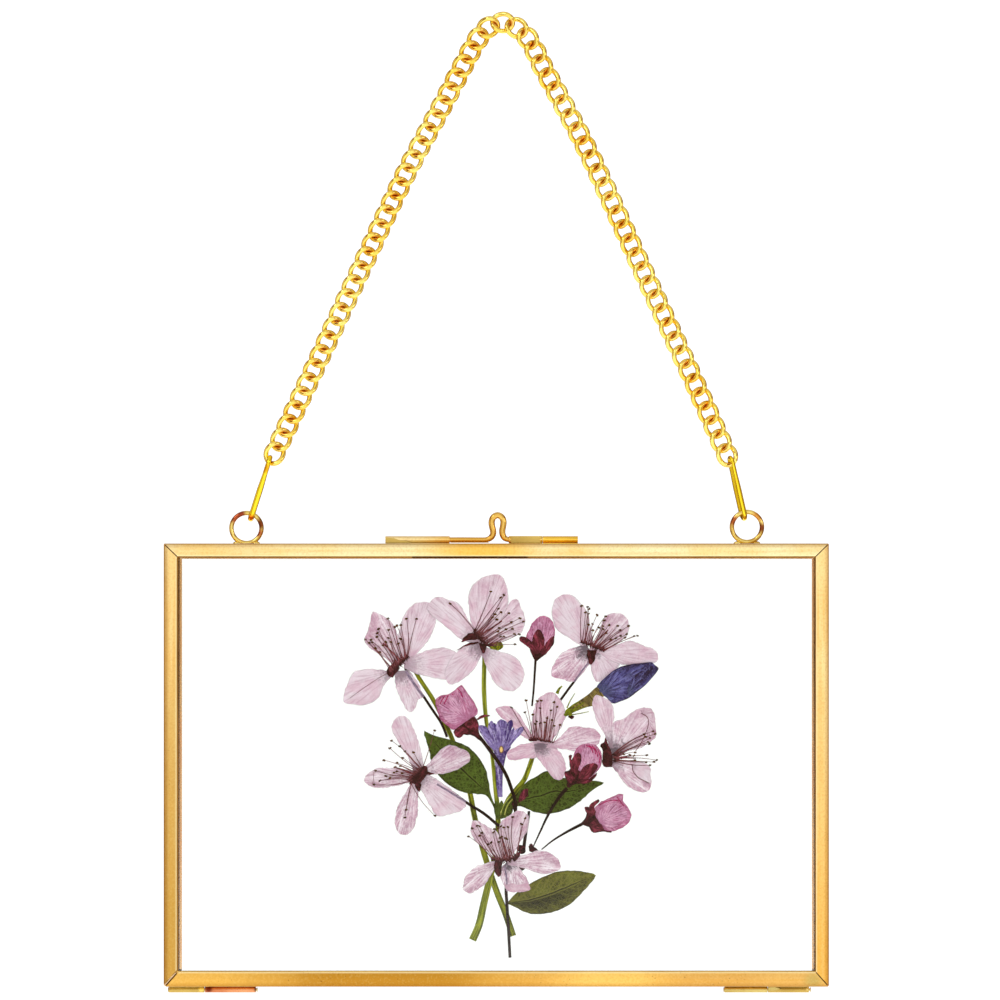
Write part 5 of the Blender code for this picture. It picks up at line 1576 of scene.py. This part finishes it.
# %% Form the violet flower
VIOLET_Y = -0.16 * MM
form = new_form()
pillow(form, [(498, 797), (496.5, 785), (496, 776), (495.2, 765), (494.6, 756), (493, 750),
              (489, 745), (500, 742), (511, 746), (507, 753), (504.5, 763), (502.8, 775),
              (502.6, 786), (502.5, 797)], VIOLET_Y, 0.14 * MM, columns=10, rows=24, seed=1,
       blush=0.75)
VIOLET_PETALS = (
    ([(494, 750), (489, 745.7), (483.8, 738), (479.9, 732), (478, 726.8), (480.5, 725),
      (484.8, 726), (488, 728.7), (491.6, 736.6), (494.3, 743.8), (498, 749)], 0.1, 0),
    ([(496, 748), (493.2, 742), (490.3, 734.6), (488, 729), (488.4, 724.8), (491.3, 720.4),
      (494, 725), (494.6, 733), (498, 747)], 0.2, 1),
    ([(497, 748), (494.4, 738), (492.6, 730), (493, 723.5), (495.9, 723.8), (496.4, 731),
      (498, 739), (500, 747)], 1.2, 1),
    ([(498, 748), (496, 738), (495.6, 730), (496.5, 723.5), (499, 720.2), (501.6, 719),
      (504.5, 720.4), (507.3, 722.8), (506.7, 730), (505.7, 740), (503.5, 748)], 0.0, 0),
    ([(503, 748), (505.4, 738), (506.4, 729), (507.6, 722.6), (511.3, 719.8), (513.3, 723.5),
      (511.9, 728), (509, 738), (506, 746)], 1.5, 1),
    ([(504, 749), (507, 740), (510.4, 732), (513.4, 727.2), (514.4, 730.5), (511, 738),
      (507, 746)], 0.5, 1),
    ([(503, 750), (506.7, 743.8), (510.6, 736.6), (514.5, 730.7), (519.8, 727.4), (524.3, 727),
      (522.9, 731.3), (519.8, 735.3), (514.5, 740.6), (510.6, 745.7), (505, 751)], 0.15, 0),
)
for index, (outline, blush, behind) in enumerate(VIOLET_PETALS):
    pillow(form, outline, VIOLET_Y - 0.56 * MM + behind * 0.09 * MM, 0.05 * MM, blush=blush,
           seed=index * 3, columns=12, rows=20, ragged=0.12 * MM, crinkle=0.8)
violet = plant("violet_flower_petals", form, VIOLET_PETAL, "violet_petals",
               stands_for=["violet_flower"])
for name, material, depth, size in (
        ("ring", THROAT, 0.60 * MM, (0.56 * MM, 0.06 * MM, 0.92 * MM)),
        ("throat", POLLEN, 0.66 * MM, (0.34 * MM, 0.08 * MM, 0.64 * MM))):
    form = new_form()
    ball(form, place(501.3, 749.5, VIOLET_Y - depth), size, rounds=3)
    plant(f"violet_flower_{name}", form, material, "violet_petals")
print("violet flower:", count([violet]), "faces")

# %% [markdown]
# ## Leaves
#
# A leaf is a blade with straight UVs and a crease along its midrib. Its finish draws
# the side veins. A scrap of leaf clings where the stems cross, at the foot of the middle
# leaf.

# %% Lay the leaves
LEAVES = {
    "leaf_left": (GREEN_LEAF, 0.34 * MM, [
        (496, 812), (487, 796), (478, 794), (466, 793), (455, 789), (445, 782), (437, 773),
        (431, 761), (429, 750), (426, 740), (424, 731), (433, 735), (448, 739), (460, 743),
        (470, 748), (480, 759), (486, 770), (489, 782), (491, 796), (498, 810)]),
    "leaf_centre": (GREEN_LEAF, 0.80 * MM, [
        (512, 804), (514, 795), (520, 788), (527, 782), (536, 776.5), (548, 770.5), (558, 776),
        (572, 779), (588, 780), (604, 782.5), (594, 789), (585, 797), (575, 805),
        (562, 811), (548, 814), (534, 812), (523, 807), (514, 806)]),
    "leaf_bottom": (OLIVE_LEAF, 0.80 * MM, [
        (508, 902), (514, 895), (522, 889), (533, 882), (545, 876), (556, 872), (567, 870.5),
        (580, 871), (589, 873), (596, 875.5), (590, 884), (582, 893), (574, 901), (562, 909),
        (549, 913), (537, 914.5), (526, 912.5), (516, 907.5), (508, 904)]),
}
SCRAPS_PX = (
    [(500.5, 819), (500.5, 813), (504, 804), (507.5, 799), (511, 795.5), (514.5, 797),
     (513.5, 804), (513, 809), (511.5, 814), (505, 818)],
    [(499.4, 814), (498.3, 808.5), (499, 804), (501.5, 800.6), (503.4, 803.5), (502.2, 808.5)],
    [(497, 820), (494.5, 813), (494, 806), (495.4, 801), (498, 803), (500, 810), (501, 818)])
for name, (material, y, outline) in LEAVES.items():
    form = new_form()
    blade(form, outline, y, columns=20, rows=30, fan=False, ripple=0.05 * MM,
          crease=0.10 * MM, ragged=0.15 * MM, seed=len(name))
    if name == "leaf_centre":
        for scrap, depth in zip(SCRAPS_PX, (0.30, 0.12, 0.02)):
            blade(form, scrap, depth * MM, columns=8, rows=12, fan=False)
    leaf = plant(f"{name}_blade", form, material, "leaf_green", stands_for=[name],
                 thickness=0.06 * MM)
    print(name, count([leaf]), "faces")

# %% [markdown]
# ## Stems
#
# Pressed stems are tubes squeezed flat. Each is a smooth route with two or more widths
# along it. The green ones are wide and streaked, the dark ones thin, and the short green
# one on the right has two dry edges that curl up.

# %% Lay the stems
STEM_Y, GREEN_Y = -0.15 * MM, 0.56 * MM
PRESSED_DEPTH = 0.13 * MM
STEMS = {
    "stem_green_left": (GREEN_STEM, GREEN_Y, (4.0, 6.6), (
        (413, 664.5), (416, 673), (423, 684), (434.5, 702), (447, 727), (457, 752),
        (466, 780), (470.5, 795), (474, 814), (482, 846), (490, 872), (498, 895),
        (505, 912), (513, 936))),
    "stem_green_centre": (PALE_STEM, BEHIND_Y, (4.4, 4.6, 3.4, 5.6, 7.0, 7.6), (
        (484.5, 655), (484, 690), (486.4, 722), (491.6, 752), (495.2, 786), (498, 816),
        (497, 846), (490, 877), (483.5, 905), (479, 925), (472.5, 940))),
    "stem_green_right": (GREEN_STEM, GREEN_Y, (4.6, 5.6), (
        (532.5, 757), (529, 768), (524, 780), (516, 790), (509, 799), (503, 812))),
    "stem_dark_upper_left": (DARK_STEM, STEM_Y, (2.6, 2.6), (
        (405, 668), (414, 682), (424, 697), (432, 709), (440.8, 722.2), (445.6, 733),
        (447, 737))),
    "stem_dark_centre": (DARK_STEM, -0.54 * MM, (3.6, 3.0), (
        (479, 736), (486, 745), (491, 752), (498, 761.5), (503, 769), (508, 779),
        (511.5, 789), (515, 800), (515.5, 812), (513, 832), (508, 858), (506, 885),
        (507, 905), (508.5, 930), (510, 957.5))),
    "stem_dark_top": (DARK_STEM, STEM_Y, (2.4, 1.8), (
        (535.6, 659), (534.6, 675), (533.6, 690), (532, 706))),
    "stem_dark_upper_right": (DARK_STEM, 0.40 * MM, (2.4, 2.4), (
        (589, 661), (579, 675), (570, 687), (560.5, 700))),
    "stem_dark_left": (DARK_STEM, STEM_Y, (2.6, 3.0), (
        (440, 784), (455, 794), (468, 803.5), (484, 813.5), (499, 826))),
    "stem_dark_low_centre": (DARK_STEM, STEM_Y, (3.8, 1.2), (
        (567, 788), (560, 796), (552, 808), (546, 819), (540, 832), (533, 847))),
    "stem_dark_low_right": (DARK_STEM, STEM_Y, (3.2, 1.1), (
        (582, 824), (574, 828), (563, 834), (552, 841), (541.5, 849.5))),
    "stem_dark_short": (DARK_STEM, STEM_Y, (2.6, 3.6), (
        (529, 811), (528, 820), (526, 832), (524.5, 842), (523.5, 852))),
}
for name, (material, y, widths_px, route_px) in STEMS.items():
    route = evenly(drawn(route_px, y), 40)
    spans = evenly([Vector((index, width, 0)) for index, width in enumerate(widths_px)], 40)
    widths = [knot.y * METRE_PER_PX / 2 for knot in spans]
    form = new_form()
    tube(form, route, widths, sides=12, flatten=PRESSED_DEPTH / max(widths))
    slot = "green_stem" if "green" in name else "dark_stem"
    plant(f"{name}_pressed", form, material, slot, stands_for=[name])
form = new_form()
for line_px in ([(510.6, 796.2), (507, 800), (503.8, 805), (501, 812), (500.4, 818)],
                [(512.6, 799), (509, 803), (506, 809), (504.6, 815)]):
    thread(form, line_px, 0.20 * MM, 0.14 * MM)
plant("stem_green_right_edges", form, STEM_EDGE, "green_stem")
print(len(STEMS), "stems")

# %% [markdown]
# ## Scales and scraps on the stems
#
# Where the dark stems end they carry small maroon scales, and a red bud scale sits at
# the foot of the middle leaf. They are small pillows.

# %% Lay the scales
SCALES_PX = (
    ([(512, 801.5), (512.4, 806), (513.5, 811), (516, 811.5), (517.4, 806.5), (517, 801)], 0.8),
    ([(528.5, 846), (532, 844), (536, 848), (538, 853), (532, 852), (529, 849)], 0.5),
    ([(516.5, 849), (518, 845), (523, 844.5), (525.5, 849), (524, 853.5), (519, 852)], 1.2),
    ([(517, 865.5), (520.5, 865), (525, 868), (524, 871), (520, 870.8), (517.5, 868)], 1.2),
    ([(568, 717), (569, 715), (572, 715), (574, 717), (571, 719)], 0.3),
)
SCALE_Y = STEM_Y - 0.17 * MM
form = new_form()
for index, (outline, blush) in enumerate(SCALES_PX):
    pillow(form, outline, SCALE_Y, 0.12 * MM, blush=blush, columns=10, rows=14,
           ragged=0.4 * MM, seed=index)
scales = plant("stem_scales", form, CALYX, "dark_stem")
red_scale = cushion("red_scale", [
    (519, 802.5), (518.2, 800.5), (520, 794.5), (523, 790.5), (526.5, 788.6),
    (528.2, 789.8), (528.2, 795), (525, 798.8), (521.5, 801)],
    SCALE_Y, 0.12 * MM, RED_CALYX, "dark_stem", columns=10, rows=14, ragged=0.2 * MM)
print("scales:", count([scales, red_scale]), "faces")

# %% [markdown]
# ## Floor, light and camera
#
# The frame hangs over a pale floor in a white room, as in the photograph. The floor is
# far enough below it for the front half to swing down. Polished metal needs something
# dark to mirror, or it looks flat, so a photographer puts dark cards at the sides. Here
# the world does that: for mirrored rays alone it is bright in front and behind, and dark
# in a belt between. A small dark spot straight ahead is what the flat panes mirror, so
# they stay clear. The camera is far away with a long lens, level with the middle of the
# picture.

# %% Set the stage
FLOOR_DROP = 0.14
form = bmesh.new()
bmesh.ops.create_grid(form, x_segments=1, y_segments=1, size=0.6)
bmesh.ops.translate(form, verts=form.verts, vec=(0, 0, cad_box[0][2] - FLOOR_DROP))
floor = put("floor", mesh_of("floor", form))
plaster = Finish.named("pale floor")
mottle = plaster.noise(plaster.where(), 30.0, 3.0)
floor.data.materials.append(plaster.principled(
    Base_Color=plaster.mix(mottle, (226, 224, 220), (216, 214, 209)), Roughness=0.8))

world = bpy.data.worlds.new("soft studio")
bpy.context.scene.world = world
sky = Finish(world)
direction = sky.where("Generated")
sideways, depth, height = (sky.part(direction, axis) for axis in range(3))
room = sky.mix(height.between(-0.6, 0.1), (226, 224, 222), (255, 255, 255))
rig = sky.coats(
    (126, 92, 58),
    (height.between(0.45, 0.85) * 0.55, (255, 252, 246)),
    (depth.between(-0.9998, -0.9990) * (1 - depth.between(-0.915, -0.55)), (250, 246, 240)),
    (abs(sideways).between(0.86, 0.96), (226, 206, 172)),
    (depth.between(0.90, 0.97), (150, 112, 72)))
scattered, mirrored = (sky.node("ShaderNodeLightPath", output=bounce).between(0.0, 0.5)
                       for bounce in ("Diffuse Depth", "Glossy Depth"))
room = sky.mix(scattered, room, (1.95, 1.93, 1.91, 1.0))
light = sky.mix(mirrored * (1 - scattered * 0.6), room, rig)
sky.feed(sky.tree.nodes["Background"], {"Color": light, "Strength": 1.22})

LIT_PLACE = Vector((0.0, 0.0, -0.12))
for name, where, size, power, glossy in (
        ("key light", (-0.9, -1.0, 0.8), 0.5, 3.0, True),
        ("fill light", (1.1, -0.9, 0.2), 0.5, 1.5, True),
        ("top light", (0.1, -0.4, 1.2), 0.6, 2.5, False),
        ("back light", (0.5, 1.1, 0.6), 0.6, 2.0, False)):
    lamp = bpy.data.lights.new(name, "AREA")
    lamp.shape, lamp.size, lamp.energy = "DISK", size, power
    holder = put(name, lamp)
    holder.location, holder.visible_glossy = where, glossy
    holder.rotation_euler = (LIT_PLACE - Vector(where)).to_track_quat("-Z", "Y").to_euler()

VIEW_WIDTH = 1000 * METRE_PER_PX
CAMERA_AWAY = 3.0
lens = bpy.data.cameras.new("camera")
lens.sensor_width, lens.lens = 36.0, 36.0 * CAMERA_AWAY / VIEW_WIDTH
lens.clip_start, lens.clip_end = 0.05, 20.0
camera = put("camera", lens)
camera.location = place(500, 500, -CAMERA_AWAY)
camera.rotation_euler = (math.pi / 2, 0, 0)
bpy.context.scene.camera = camera
bpy.context.scene.view_settings.view_transform = "Standard"
print("lens", round(lens.lens), "mm at", CAMERA_AWAY, "m")

# %% Print the CAD box and finish
print("CAD box    ", [[round(v / MM, 2) for v in corner] for corner in cad_box])
